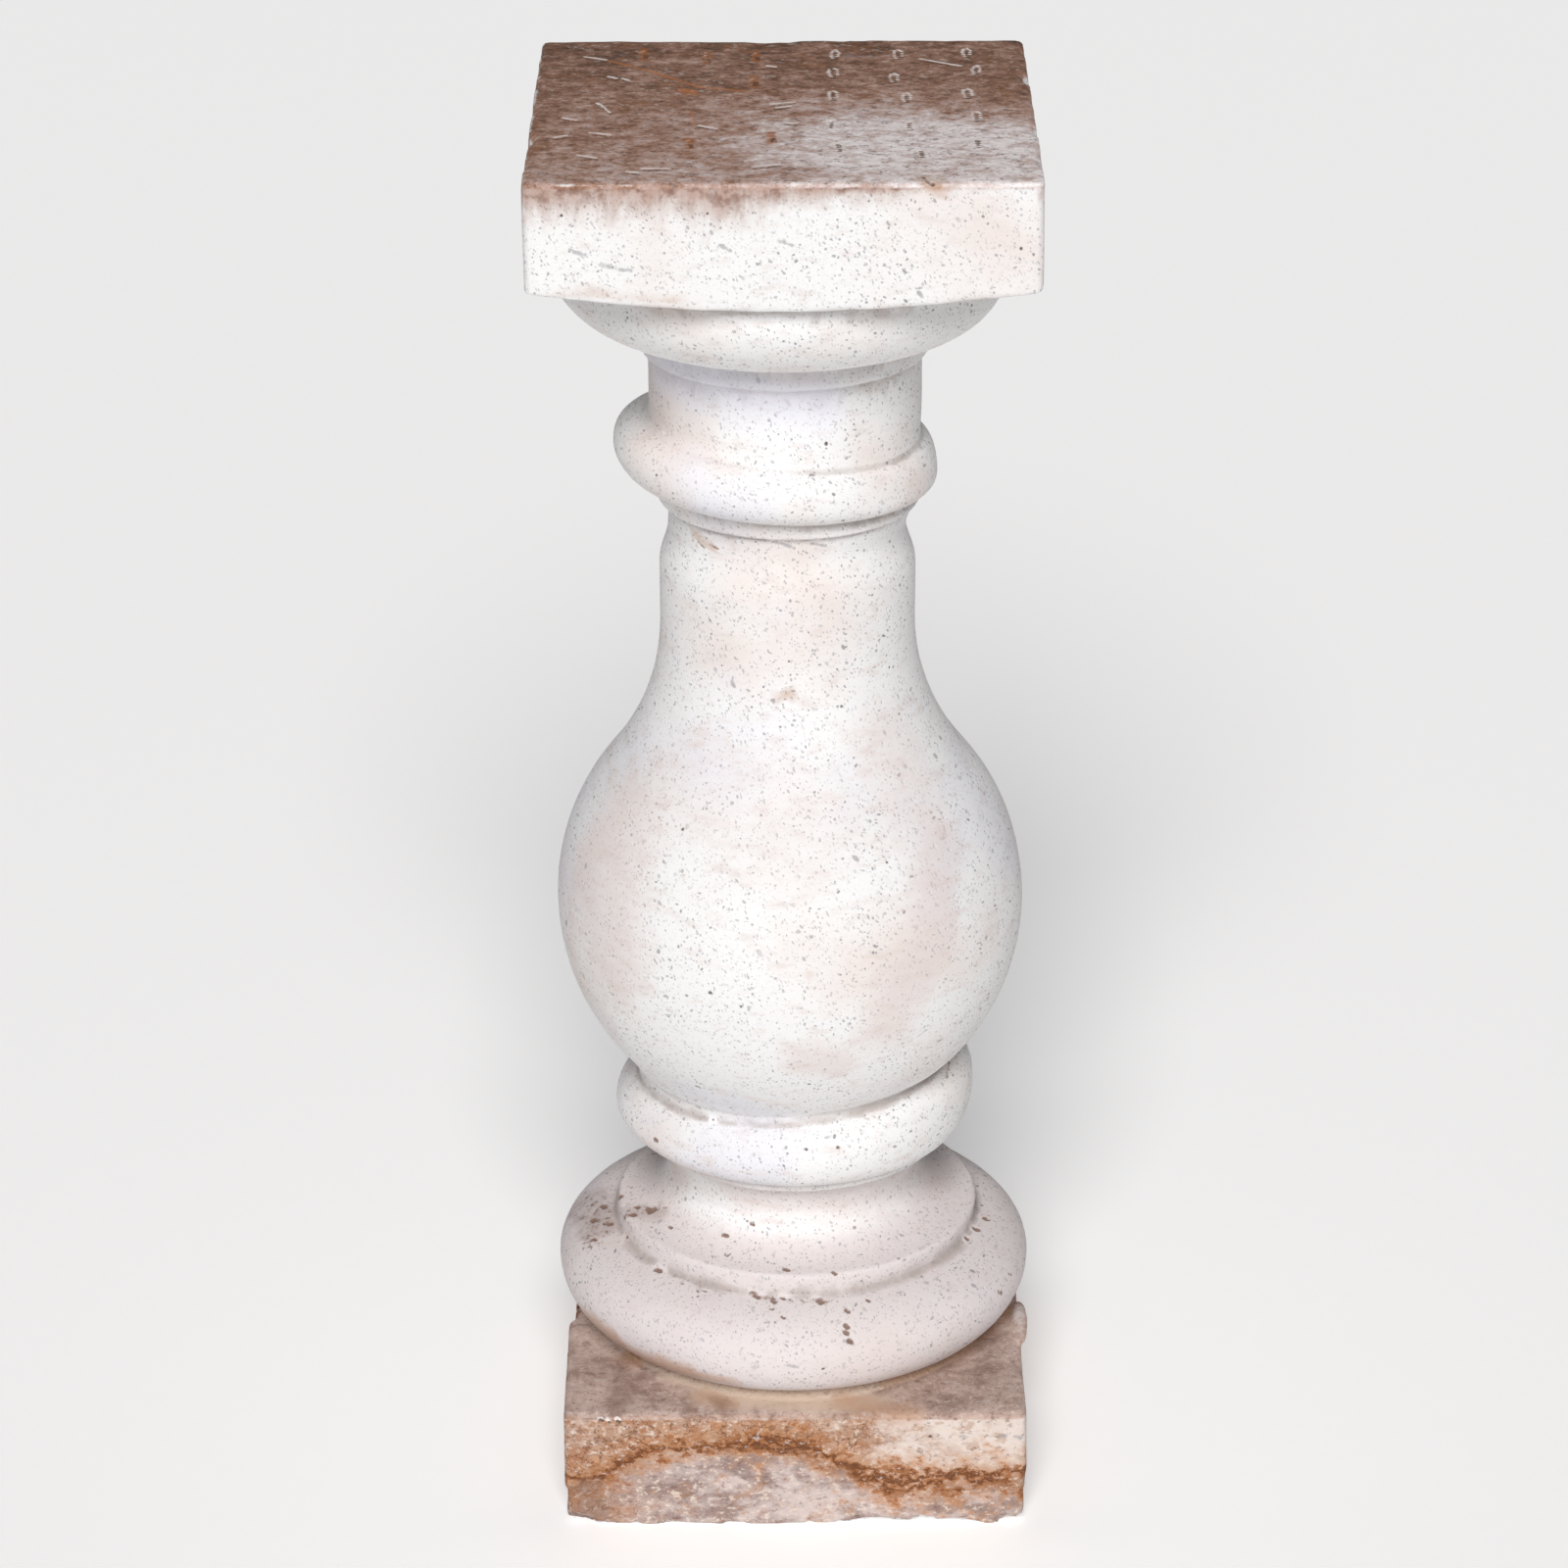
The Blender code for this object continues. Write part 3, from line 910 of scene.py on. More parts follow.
@dataclass(frozen=True)
class RustBand:
    """The rusty tide line that wanders round the foot block.

    Knots hold a distance round the block from the front left corner and a value, in millimetres.
    """

    line_mm: tuple[Point, ...] = (
        (0, 23), (27, 37), (52, 45.5), (75, 47.8), (97, 50), (120, 47), (134, 37), (154, 28),
        (183, 24.5), (202, 28), (222, 27), (231, 28), (260, 30), (300, 36), (350, 33), (400, 26),
        (463, 24), (500, 27), (560, 38), (620, 42), (670, 33), (694, 26), (740, 24), (800, 33),
        (850, 30), (900, 25),
    )
    width_mm: tuple[Point, ...] = (
        (0, 6), (60, 5), (100, 8.5), (130, 8), (154, 7), (190, 10), (231, 9), (350, 7), (463, 8),
        (560, 10), (694, 7), (800, 8), (900, 6.5),
    )
    wash_above: tuple[Point, ...] = (
        (0, 0.85), (60, 0.90), (110, 0.70), (145, 0.85), (170, 0.20), (231, 0.08), (300, 0.30),
        (400, 0.60), (463, 0.70), (560, 0.30), (694, 0.50), (800, 0.50), (900, 0.60),
    )
    wash_below: tuple[Point, ...] = (
        (0, 0.70), (25, 0.50), (60, 0.20), (120, 0.10), (170, 0.20), (200, 0.20), (231, 0.25),
        (350, 0.30), (463, 0.50), (560, 0.20), (694, 0.40), (800, 0.15), (900, 0.50),
    )

    def round_the_block(self, places: np.ndarray, half: float) -> np.ndarray:
        """Distance round the block from its front left corner, in metres.

        Args:
            places: Places from the leaning axis, in metres.
            half: Half the block's width.

        Returns:
            One distance a place, anticlockwise from above.
        """
        x, y = places[:, 0], places[:, 1]
        side = 2 * half
        upright = np.abs(x) > np.abs(y)
        front = np.clip(x + half, 0, side)
        right = side + np.clip(y + half, 0, side)
        back = 2 * side + np.clip(half - x, 0, side)
        left = 3 * side + np.clip(half - y, 0, side)
        return np.where(upright, np.where(x > 0, right, left), np.where(y < 0, front, back))

    def height_above(self, places: np.ndarray, half: float) -> np.ndarray:
        """Height above the band's middle, as a share of its half width there.

        Args:
            places: Places from the leaning axis, in metres.
            half: Half the block's width.

        Returns:
            One share a place, negative below the middle.
        """
        along = self.round_the_block(places, half) / MM
        period = 8 * half / MM
        middle = np.interp(along, *zip(*self.line_mm), period=period)
        width = np.interp(along, *zip(*self.width_mm), period=period)
        return (places[:, 2] / MM - middle) / width

    def washed(self, places: np.ndarray, half: float) -> np.ndarray:
        """How strongly rusty water has stained the stone above and below the band, from 0 to 1.

        Args:
            places: Places from the leaning axis, in metres.
            half: Half the block's width.

        Returns:
            One strength a place.
        """
        along = self.round_the_block(places, half) / MM
        period = 8 * half / MM
        upper = np.interp(along, *zip(*self.wash_above), period=period)
        lower = np.interp(along, *zip(*self.wash_below), period=period)
        share = smooth_step(self.height_above(places, half), -0.6, 0.6)
        return lower + (upper - lower) * share


@dataclass(frozen=True)
class BrokenArris:
    """The ragged lower edge of the foot block: how high it is broken away, round the block."""

    lost_mm: tuple[Point, ...] = (
        (0, 9.0), (6, 6.0), (14, 2.4), (30, 1.4), (48, 0.7), (70, 0.6), (77, 2.6), (86, 2.2),
        (92, 0.6), (112, 0.5), (120, 1.6), (132, 3.0), (160, 3.7), (180, 3.4), (200, 3.0),
        (216, 3.4), (224, 5.0), (231, 6.0), (245, 2.5), (280, 1.0), (320, 2.6), (360, 1.0),
        (420, 2.4), (463, 5.5), (480, 2.0), (540, 1.0), (600, 2.8), (660, 1.2), (694, 5.0),
        (710, 2.0), (760, 0.8), (820, 2.2), (880, 1.2), (915, 4.0),
    )
    undercut: float = 2.0
    raggedness_mm: float = 3.4

    def broken(self, places: np.ndarray, half: float, band: RustBand,
               grain: StoneGrain) -> np.ndarray:
        """Break the lower arris away along a ragged slope.

        Args:
            places: Places from the leaning axis, in metres.
            half: Half the block's width.
            band: What knows the way round the block.
            grain: The noise that makes the break uneven.

        Returns:
            The places after the break.
        """
        low = places[:, 2] < 0.03
        chosen = places[low]
        reach = np.maximum(np.abs(chosen[:, 0]), np.abs(chosen[:, 1]))
        rim = chosen * (half / np.maximum(reach, 1e-6))[:, None]
        rim[:, 2] = 0.0
        along = band.round_the_block(chosen, half) / MM
        lost = np.interp(along, *zip(*self.lost_mm), period=8 * half / MM)
        uneven = grain.layered(rim, 0.008, 3) * self.raggedness_mm * (0.5 + lost / 3)
        height = np.maximum(lost + uneven, 0.15) * MM
        width = height * self.undercut * (1 + 0.35 * grain.at(rim + 0.5, 0.016))
        inward = np.maximum(half - reach, 0.0)
        inside = chosen[:, 2] / height + inward / width
        push = np.clip((1 - inside) / 2, 0.0, 0.5)
        away = chosen[:, :2] / np.maximum(reach, 1e-6)[:, None]
        chosen = chosen.copy()
        chosen[:, 2] += push * height
        chosen[:, :2] -= away * (push * width)[:, None]
        moved = places.copy()
        moved[low] = chosen
        return moved


@dataclass(frozen=True)
class Marks:
    """Every small mark that the photograph shows, in the photo's own pixels."""

    grid_pits: tuple[Point, ...] = (
        (852, 56), (916, 56), (986, 54), (850, 75), (912, 80), (996, 72), (850, 98), (925, 100),
        (987, 96), (848, 126), (928, 128), (996, 119), (856, 150), (940, 156), (998, 146),
    )
    orange_pits: tuple[Point, ...] = (
        (772, 58), (770, 84), (788, 141), (704, 147), (658, 56), (722, 60),
    )
    pale_dashes: tuple[tuple[Point, ...], ...] = (
        ((597, 58), (618, 61)), ((621, 78), (629, 80)), ((635, 80), (642, 82)),
        ((610, 105), (622, 114)), ((602, 135), (622, 137)), ((589, 158), (608, 161)),
        ((656, 172), (683, 172)), ((768, 170), (795, 167)), ((783, 67), (791, 68)),
        ((787, 106), (810, 104)), ((792, 110), (806, 108)), ((939, 60), (979, 67)),
        ((714, 128), (731, 131)), ((720, 54), (723, 64)), ((640, 175), (650, 176)),
        ((575, 120), (588, 122)), ((566, 140), (578, 138)), ((800, 125), (812, 126)),
        ((611, 1447), (614, 1448)), ((620, 1449), (621, 1450)), ((629, 1448), (632, 1449)),
    )
    scratches: tuple[tuple[Point, ...], ...] = (
        ((622, 62), (668, 74), (714, 89), (760, 93)), ((706, 114), (706, 127)),
        ((695, 86), (700, 97), (712, 96)),
    )
    brown_spots: tuple[tuple[Point, float], ...] = (
        ((632, 1220), 2.2), ((616, 1231), 2.2), ((620, 1249), 2.6), ((664, 1235), 2.8),
        ((650, 1231), 1.8), ((646, 1239), 1.8), ((605, 1246), 1.8), ((607, 1265), 1.6),
        ((672, 1296), 2.4), ((740, 1260), 1.3), ((768, 1249), 1.3), ((802, 1295), 1.9),
        ((772, 1323), 2.2), ((789, 1328), 1.5), ((787, 1335), 1.3), ((799, 1325), 1.6),
        ((799, 1344), 1.4), ((836, 1328), 2.4), ((864, 1337), 1.5), ((851, 1298), 1.4),
        ((886, 1327), 1.3), ((864, 1353), 1.8), ((696, 1309), 1.2), ((719, 1317), 1.2),
        ((640, 1262), 1.2), ((684, 1252), 1.2), ((669, 1163), 1.6), ((712, 1108), 1.3),
        ((864, 1360), 1.8), ((867, 1368), 1.4), ((741, 1280), 1.2), ((1006, 1243), 2.0),
        ((996, 1254), 2.2), ((986, 1264), 1.8), ((1020, 1318), 1.4), ((1030, 1300), 1.2),
    )
    dark_pits: tuple[tuple[Point, float], ...] = (
        ((859, 721), 1.0), ((805, 675), 0.8), ((756, 1027), 0.9), ((725, 1013), 1.2),
        ((905, 880), 1.0), ((823, 1173), 1.3), ((855, 1171), 1.3), ((908, 681), 0.8),
        ((728, 1143), 1.0), ((843, 453), 1.0), ((697, 846), 1.0), ((722, 218), 1.0),
        ((573, 220), 1.0), ((1042, 254), 1.0), ((670, 485), 1.0), ((712, 1323), 1.0),
        ((840, 1397), 1.1), ((949, 1466), 1.1), ((1020, 1416), 0.9),
    )
    grey_scuffs: tuple[tuple[Point, ...], ...] = (
        ((612, 270), (628, 274)), ((632, 275), (644, 276)), ((582, 256), (596, 260)),
        ((862, 57), (894, 58)), ((735, 250), (745, 256)), ((795, 246), (808, 250)),
        ((862, 1368), (870, 1371)), ((804, 1393), (814, 1395)), ((790, 553), (810, 559)),
        ((830, 555), (842, 557)), ((1020, 1465), (1026, 1466)), ((980, 1466), (986, 1467)),
        ((1036, 1466), (1043, 1468)),
    )
    brown_strokes: tuple[tuple[Point, ...], ...] = (
        ((968, 1084), (966, 1100)),
        ((712, 553), (718, 559)), ((724, 556), (732, 560)),
        ((760, 1520), (792, 1522)),
    )
    washes: tuple[tuple[Stain, tuple[Point, ...], float, float], ...] = (
        (Stain.LILAC, ((668, 372), (700, 385), (760, 400), (830, 408)), 15.0, 0.85),
        (Stain.LILAC, ((700, 470), (722, 520)), 10.0, 0.40),
        (Stain.TAN, ((792, 711), (816, 706)), 1.8, 0.9),
        (Stain.TAN, ((825, 995), (828, 1000)), 1.6, 0.9),
        (Stain.TAN, ((606, 1350), (650, 1384), (700, 1399)), 8.0, 0.9),
        (Stain.TAN, ((704, 1401), (745, 1409)), 4.5, 0.75),
        (Stain.TAN, ((944, 182), (955, 190)), 4.0, 0.7),
        (Stain.TAN, ((720, 1425), (740, 1432)), 6.0, 0.8),
        (Stain.TAN, ((708, 545), (728, 560)), 2.4, 0.6),
        (Stain.TAN, ((860, 1432), (925, 1440)), 7.0, 0.7),
        (Stain.TAN, ((560, 300), (700, 308)), 1.2, 0.3),
        (Stain.ROSE, ((640, 830), (612, 900), (624, 970)), 26.0, 0.90),
        (Stain.ROSE, ((905, 760), (935, 830)), 22.0, 0.60),
        (Stain.ROSE, ((700, 800), (830, 840)), 30.0, 0.35),
        (Stain.ROSE, ((958, 860), (950, 950), (905, 1045)), 15.0, 0.85),
        (Stain.ROSE, ((820, 1080), (850, 1085)), 11.0, 0.80),
        (Stain.ROSE, ((690, 1190), (760, 1215), (860, 1225), (950, 1200)), 13.0, 0.70),
        (Stain.UMBER, ((600, 1225), (612, 1250)), 13.0, 0.42),
        (Stain.UMBER, ((650, 1235), (672, 1240)), 6.0, 0.35),
        (Stain.UMBER, ((636, 1392), (631, 1440)), 4.0, 0.90),
        (Stain.UMBER, ((734, 1428), (742, 1440)), 4.0, 0.80),
        (Stain.UMBER, ((600, 1524), (606, 1545)), 9.0, 0.60),
        (Stain.TAN, ((900, 1412), (940, 1402), (975, 1385), (1012, 1357), (1032, 1335)), 2.6, 0.8),
        (Stain.UMBER, ((905, 1417), (942, 1407), (978, 1390), (1016, 1362)), 1.2, 0.8),
        (Stain.CRUMB, ((598, 1228), (612, 1246), (608, 1262)), 11.0, 0.25),
        (Stain.CRUMB, ((640, 1238), (672, 1234)), 7.0, 0.28),
        (Stain.CRUMB, ((768, 1322), (803, 1327), (842, 1327)), 2.6, 0.28),
        (Stain.CRUMB, ((690, 1306), (720, 1316)), 3.5, 0.25),
        (Stain.SAND, ((716, 1426), (780, 1432), (850, 1434), (896, 1430)), 7.5, 0.90),
        (Stain.SAND, ((668, 1404), (700, 1412), (724, 1418)), 2.4, 0.70),
    )

    def all(self) -> list[Mark]:
        """Every mark with its size in millimetres.

        Returns:
            The marks, in the order they are laid.
        """
        marks = []
        # Grid pits: pale crescents on the rims and a dark centre, partly the stone's colour and
        # partly painted highlight and painted shadow.
        for index, (x, y) in enumerate(self.grid_pits):
            slant = (2, -1, 1, -2, 0)[index % 5]
            left = ((x - 3 + slant / 2, y - 4), (x - 4, y - 1), (x - 2, y + 3))
            right = ((x + 1, y - 5), (x + 4, y - 3 + slant / 2), (x + 4 - slant / 2, y + 1))
            marks += [Mark(Stain.PALE, line, 1.1, -0.6) for line in (left, right)]
            marks.append(Mark(Stain.DARK, ((x, y - 2), (x + 1, y + 4)), 1.4, 1.4))
        # Orange pits: painted highlight at the upper left and painted shadow at the lower right.
        for x, y in self.orange_pits:
            marks.append(Mark(Stain.ORANGE, ((x - 1, y - 5), (x, y + 4)), 2.6, -0.3))
            marks.append(Mark(Stain.PALE, ((x - 4, y - 2), (x - 1, y - 4)), 0.9, -0.3))
            marks.append(Mark(Stain.DARK, ((x + 1, y), (x + 1, y + 3)), 1.4, 1.3))
        for line in self.pale_dashes:
            # Pale dashes, partly painted highlight, each with a painted shadow just below and right
            # of it.
            shade = tuple((x + 1, y + 2) for x, y in line)
            marks.append(Mark(Stain.PALE, line, 1.1, -0.35))
            marks.append(Mark(Stain.DARK, shade, 0.9, 0.5, strength=0.8))
        marks += [Mark(Stain.ORANGE, line, 1.1, 0.6, 0.2, 0.9) for line in self.scratches]
        marks += [Mark(Stain.CRUMB, ((x - 1, y), (x + 1, y + 1)), 0.85 * size, 0.5)
                  for (x, y), size in self.brown_spots]
        marks += [Mark(Stain.BROWN, line, 0.9, 0.4, strength=0.65) for line in self.brown_strokes]
        marks += [Mark(Stain.DARK, (spot,), size, 0.8, strength=0.75)
                  for spot, size in self.dark_pits]
        marks += [Mark(Stain.GREY, line, 1.1, 0.15, strength=0.7) for line in self.grey_scuffs]
        marks += [Mark(stain, line, size, 0.0, strength=strength)
                  for stain, line, size, strength in self.washes]
        marks.append(Mark(Stain.ORANGE, ((697, 92), (706, 94)), 3.6, 0.9, 0.4, 0.8))
        marks.append(Mark(Stain.DARK, ((942, 181), (952, 188)), 1.4, 0.8, strength=0.7))
        return marks


@dataclass(frozen=True)
class Weathering:
    """What age has done to the casting, carved into its surface."""

    place: CastingPlace
    band: RustBand = RustBand()
    arris: BrokenArris = BrokenArris()
    marks: Marks = Marks()
    camera: Camera = Camera()
    wear_seed: int = 7
    foot_seed: int = 11
    mark_seed: int = 23
    soil_seed: int = 31
    arris_wear: float = 2.6
    wave_mm: float = 0.35
    dent_mm: float = 0.10
    sunk_mm: float = 1.0
    crust_mm: float = 0.75
    bleed_mm: float = 18.0
    plain_zones: tuple[str, ...] = ("top_face", "foot_side", "foot_ledge", "curb", "torus")

    def zones(self, places: np.ndarray, normals: np.ndarray) -> dict[str, np.ndarray]:
        """Soft masks of the casting's regions, one number a vertex each.

        Args:
            places: Places from the leaning axis, in metres.
            normals: Outward directions.

        Returns:
            Masks from 0 to 1 by name.
        """
        z = self.place.shaft.levels()
        r = self.place.shaft.radii()
        x, y, height = places.T
        radius = np.hypot(x, y)
        up = normals[:, 2]
        level = smooth_step(np.abs(up), 0.45, 0.8)
        foot = smooth_step(height, z["foot_top"] + 1.5 * MM, z["foot_top"] - 0.5 * MM)
        cap = smooth_step(height, z["cap_underside"] - 9 * MM, z["cap_underside"] - 7 * MM)
        return {
            "top_face": smooth_step(height, z["cap_top"] - 3.5 * MM, z["cap_top"] - 1.0 * MM),
            "cap_side": cap * (1 - level),
            "foot": foot,
            "foot_side": foot * (1 - smooth_step(-up, 0.45, 0.8))
            * (1 - level * smooth_step(height, z["foot_top"] - 6 * MM, z["foot_top"] - 3 * MM)),
            "foot_ledge": smooth_step(height, z["foot_top"] - 5 * MM, z["foot_top"] - 2 * MM)
            * smooth_step(height, z["curb_top"] + 2 * MM, z["foot_top"] + 0.5 * MM)
            * smooth_step(radius, r["ring"] - 2 * MM, r["ring"] + 2 * MM),
            "curb": smooth_step(np.abs(radius - r["curb"] + 3 * MM), 7 * MM, 2.5 * MM)
            * smooth_step(np.abs(height - z["foot_top"] - 2 * MM), 5.5 * MM, 2.5 * MM),
            "torus": smooth_step(height, z["foot_top"] + 2 * MM, z["curb_top"] + 2 * MM)
            * smooth_step(height, z["ring_top"] + 14 * MM, z["ring_top"] + 4 * MM),
        }

    def wear(self, skin: Skin) -> None:
        """Clean the surface, wear its arrises unevenly and let it wave as a worn casting does.

        Args:
            skin: The surface to wear.
        """
        grain = StoneGrain(self.wear_seed)
        skin.move(skin.averaged(skin.places(), 1))
        edge = np.maximum(-skin.hollowness(8), 0.0)
        places, normals = skin.places(), skin.normals()
        uneven = smooth_step(grain.layered(places, 0.014, 3), -0.35, 0.75)
        local = self.place.from_axis(places)
        zone = self.zones(local, normals)
        blocks = np.maximum(zone["foot"], smooth_step(local[:, 2], 0.630, 0.640))
        worn = edge * (0.1 + self.arris_wear * uneven * blocks)
        waves = grain.layered(places + 1.0, 0.055, 2) * self.wave_mm * MM
        deep = self.dent_mm + self.dent_mm * zone["torus"]
        dents = grain.layered(places + 2.0, 0.012, 2) * deep * MM
        skin.move(places + normals * (waves + dents - worn)[:, None])

    def break_foot(self, skin: Skin) -> None:
        """Break the foot's lower arris, sink its eroded part and raise the crust of the band.

        Args:
            skin: The surface to break.
        """
        grain = StoneGrain(self.foot_seed)
        half = self.place.shaft.foot_half
        places, normals = skin.places(), skin.normals()
        local = self.place.from_axis(places)
        zone = self.zones(local, normals)
        above = self.band.height_above(local, half)
        below = smooth_step(above, 0.15, -0.9) * zone["foot_side"]
        near = np.exp(-above ** 2) * zone["foot_side"]
        rough = grain.layered(places, 0.016, 4)
        crumb = grain.layered(places + 0.4, 0.0048, 2)
        push = -below * (self.sunk_mm + 0.9 * rough)
        push += near * (0.6 * rough + self.crust_mm * crumb)
        push += below * 0.5 * crumb
        push += zone["curb"] * (0.55 * crumb + 0.4 * rough)
        push += zone["foot_ledge"] * 0.25 * rough
        local = local + normals * (push * MM)[:, None]
        broken = self.arris.broken(local, half, self.band, grain)
        broken[:, 0] += self.place.axis_x(places[:, 2])
        skin.move(broken)

    def lay_marks(self, skin: Skin, solid: bpy.types.Object) -> np.ndarray:
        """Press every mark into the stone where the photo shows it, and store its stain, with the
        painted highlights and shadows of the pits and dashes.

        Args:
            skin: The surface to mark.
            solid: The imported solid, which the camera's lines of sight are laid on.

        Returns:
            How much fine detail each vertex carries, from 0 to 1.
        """
        grain = StoneGrain(self.mark_seed)
        laid_out = []
        for mark in self.marks.all():
            spots, facing = self.on_stone(mark.line, solid, max(2.0, mark.width_mm))
            if len(spots):
                laid_out.append((mark, spots, facing))
            else:
                LOG.warning("a mark at %s misses the stone", mark.line[0])
        skin.divide([(spots, (2 * mark.width_mm + 1) * MM) for mark, spots, _ in laid_out
                     if mark.depth_mm != 0])
        places = skin.places()
        uneven = grain.layered(places, 0.0035, 2)
        push = np.zeros_like(places)
        detail = np.zeros(len(places))
        # These masks also hold the painted highlights and shadows of the pits and dashes.
        stains = {stain: np.zeros(len(places)) for stain in Stain}
        for mark, spots, facing in laid_out:
            width = mark.width_mm * MM
            near = np.nonzero(np.abs(places - spots.mean(axis=0)).max(axis=1)
                              < np.ptp(spots, axis=0).max() / 2 + 3 * width)[0]
            away = np.linalg.norm(places[near, None, :] - spots[None], axis=2).min(axis=1)
            share = away / width * (1 + 0.38 * uneven[near])
            hole = smooth_step(share, 1.0, 0.25)
            rim = np.exp(-((share - 1.15) / 0.38) ** 2)
            depth = (rim * mark.rim_mm - hole * mark.depth_mm) * MM
            push[near] += depth[:, None] * facing
            held = stains[mark.stain]
            laid = smooth_step(share, 1.5, 0.35) * mark.strength
            held[near] = np.maximum(held[near], laid)
            if mark.depth_mm != 0:
                detail[near] = np.maximum(detail[near], smooth_step(share, 2.6, 1.6))
        skin.move(places + push)
        for stain, values in stains.items():
            skin.keep(stain.value, values)
        return detail

    def on_stone(self, line: tuple[Point, ...], solid: bpy.types.Object,
                 step_px: float) -> tuple[np.ndarray, np.ndarray]:
        """Lay a line of photo pixels on the solid.

        Args:
            line: The line's corners in the photo's pixels.
            solid: What to lay it on.
            step_px: Distance between the places along the line.

        Returns:
            Places along the line, and the stone's mean outward direction.
        """
        pixels = [line[0]]
        for start, end in zip(line, line[1:]):
            count = max(1, round(math.dist(start, end) / step_px))
            for step in range(1, count + 1):
                share = step / count
                pixels.append((start[0] + (end[0] - start[0]) * share,
                               start[1] + (end[1] - start[1]) * share))
        spots, facing = [], Vector()
        for pixel in pixels:
            hit, spot, normal, _ = solid.ray_cast(Vector(self.camera.place),
                                                  self.camera.sight(pixel))
            if hit:
                spots.append(tuple(spot))
                facing += normal
        return np.array(spots), np.array(facing.normalized())

    def soil(self, skin: Skin) -> np.ndarray:
        """Store where soil, bleeding and rust lie, and where hollows and creases take painted shade.

        Args:
            skin: The surface to stain.

        Returns:
            How much fine detail the foot's broken side carries, one number a vertex.
        """
        grain = StoneGrain(self.soil_seed)
        z = self.place.shaft.levels()
        places, normals = skin.places(), skin.normals()
        local = self.place.from_axis(places)
        zone = self.zones(local, normals)
        x, y, _ = local.T / self.place.shaft.cap_half
        slow = grain.layered(places, 0.045, 3)
        pale = np.exp(-((x - 0.72) ** 2 + (y + 0.70) ** 2) / 0.30)
        pale += 0.55 * np.exp(-((x - 0.30) ** 2 / 0.22 + (y + 0.35) ** 2 / 0.14))
        soil = 0.60 + 0.16 * y - 0.03 * x - 0.62 * pale + 0.14 * slow
        depth = (z["cap_top"] - local[:, 2]) / MM
        left = smooth_step(x, 0.60, -0.45) * 0.8 + 0.2
        reach = self.bleed_mm * left * (1 + 0.6 * grain.layered(places + 3.0, 0.028, 3))
        bleed = smooth_step(depth, 1.7 * np.maximum(reach, 0.5), 0.0)
        for name in self.plain_zones:
            skin.keep(name, zone[name])
        skin.keep("soil", np.clip(soil, 0.10, 1.0))
        skin.keep("bleed", np.clip(bleed, 0.0, 1.0) * zone["cap_side"])
        skin.keep("rust_height", np.clip(
            self.band.height_above(local, self.place.shaft.foot_half), -9.0, 9.0))
        skin.keep("wash", self.band.washed(local, self.place.shaft.foot_half))
        # The hollow and crease masks place painted shade in the hollows and creases, where the light
        # is cut off.
        skin.keep("hollow", smooth_step(skin.hollowness(30), 0.15 * MM, 1.3 * MM))
        skin.keep("crease_shade", smooth_step(skin.hollowness(10), 0.10 * MM, 0.60 * MM))
        skin.keep("edge", smooth_step(-skin.hollowness(4), 0.16 * MM, 0.42 * MM))
        return zone["foot_side"]


Socket = bpy.types.NodeSocket
EASE = {"interpolation_type": "SMOOTHSTEP"}
TIMES = {"operation": "MULTIPLY"}
TIMES_PLUS = {"operation": "MULTIPLY_ADD"}


class NodeBench:
    """The node tree of one finish, and the one way that nodes are added to it."""

    def __init__(self, name: str) -> None:
        """Start an empty material.

        Args:
            name: The material's name.
        """
        self.material = bpy.data.materials.new(name)
        self.material.use_nodes = True
        self.tree = self.material.node_tree
        self.tree.nodes.clear()
        self.known: dict[str, Socket] = {}

    def add(self, kind: str, *inputs: object, out: int | str = 0,
            **named: object) -> Socket | None:
        """Add a node with its settings and links.

        Args:
            kind: Blender's name of the node, without its ShaderNode.
            inputs: Its first inputs: values, outputs or names of known patterns; None skips one.
            out: The output to hand back.
            named: Further inputs by name, which start with a capital, and the node's settings.

        Returns:
            That output, or None for a node that has no outputs.
        """
        node = self.tree.nodes.new("ShaderNode" + kind)
        plugs: dict[int | str, object] = dict(enumerate(inputs))
        for name, value in named.items():
            if name[0].isupper():
                plugs[name.replace("_", " ")] = value
            else:
                setattr(node, name, value)
        for name, value in plugs.items():
            value = self.known[value] if isinstance(value, str) else value
            if isinstance(value, Socket):
                self.tree.links.new(value, node.inputs[name])
            elif value is not None:
                node.inputs[name].default_value = value
        return node.outputs[out] if node.outputs else None

    def broken(self, mask: Socket | str, pattern: Socket | str, bite: float,
               soft: float) -> Socket:
        """A soft mask with its edge broken up by a pattern.

        Args:
            mask: The mask, from 0 to 1.
            pattern: What breaks it, from 0 to 1.
            bite: How far the pattern moves the edge.
            soft: Half the width of the new edge.

        Returns:
            The new mask, 0 wherever the old one is.
        """
        shift = self.add("Math", pattern, bite, mask, **TIMES_PLUS)
        middle = 0.5 + bite / 2
        eased = self.add("MapRange", shift, middle - soft, middle + soft, **EASE)
        inside = self.add("MapRange", mask, 0.02, 0.25, **EASE)
        return self.add("Math", eased, inside, **TIMES)

    def painted(self, colour: Socket | str, *layers: tuple[Socket | str | float, ...]) -> Socket:
        """Lay tints over a colour.

        Args:
            colour: The colour below.
            layers: For each tint its mask, or a pattern with the values where it starts and is
                full, then its strength and the tint itself.

        Returns:
            The colour that shows.
        """
        colour = linear(colour) if isinstance(colour, str) else colour
        for *span, strength, tint in layers:
            mask = self.add("MapRange", *span, **EASE) if len(span) > 1 else span[0]
            share = self.add("Math", mask, strength, **TIMES)
            over = linear(tint) if isinstance(tint, str) else tint
            colour = self.add("Mix", share, *[None] * 5, colour, over, data_type="RGBA", out=2)
        return colour


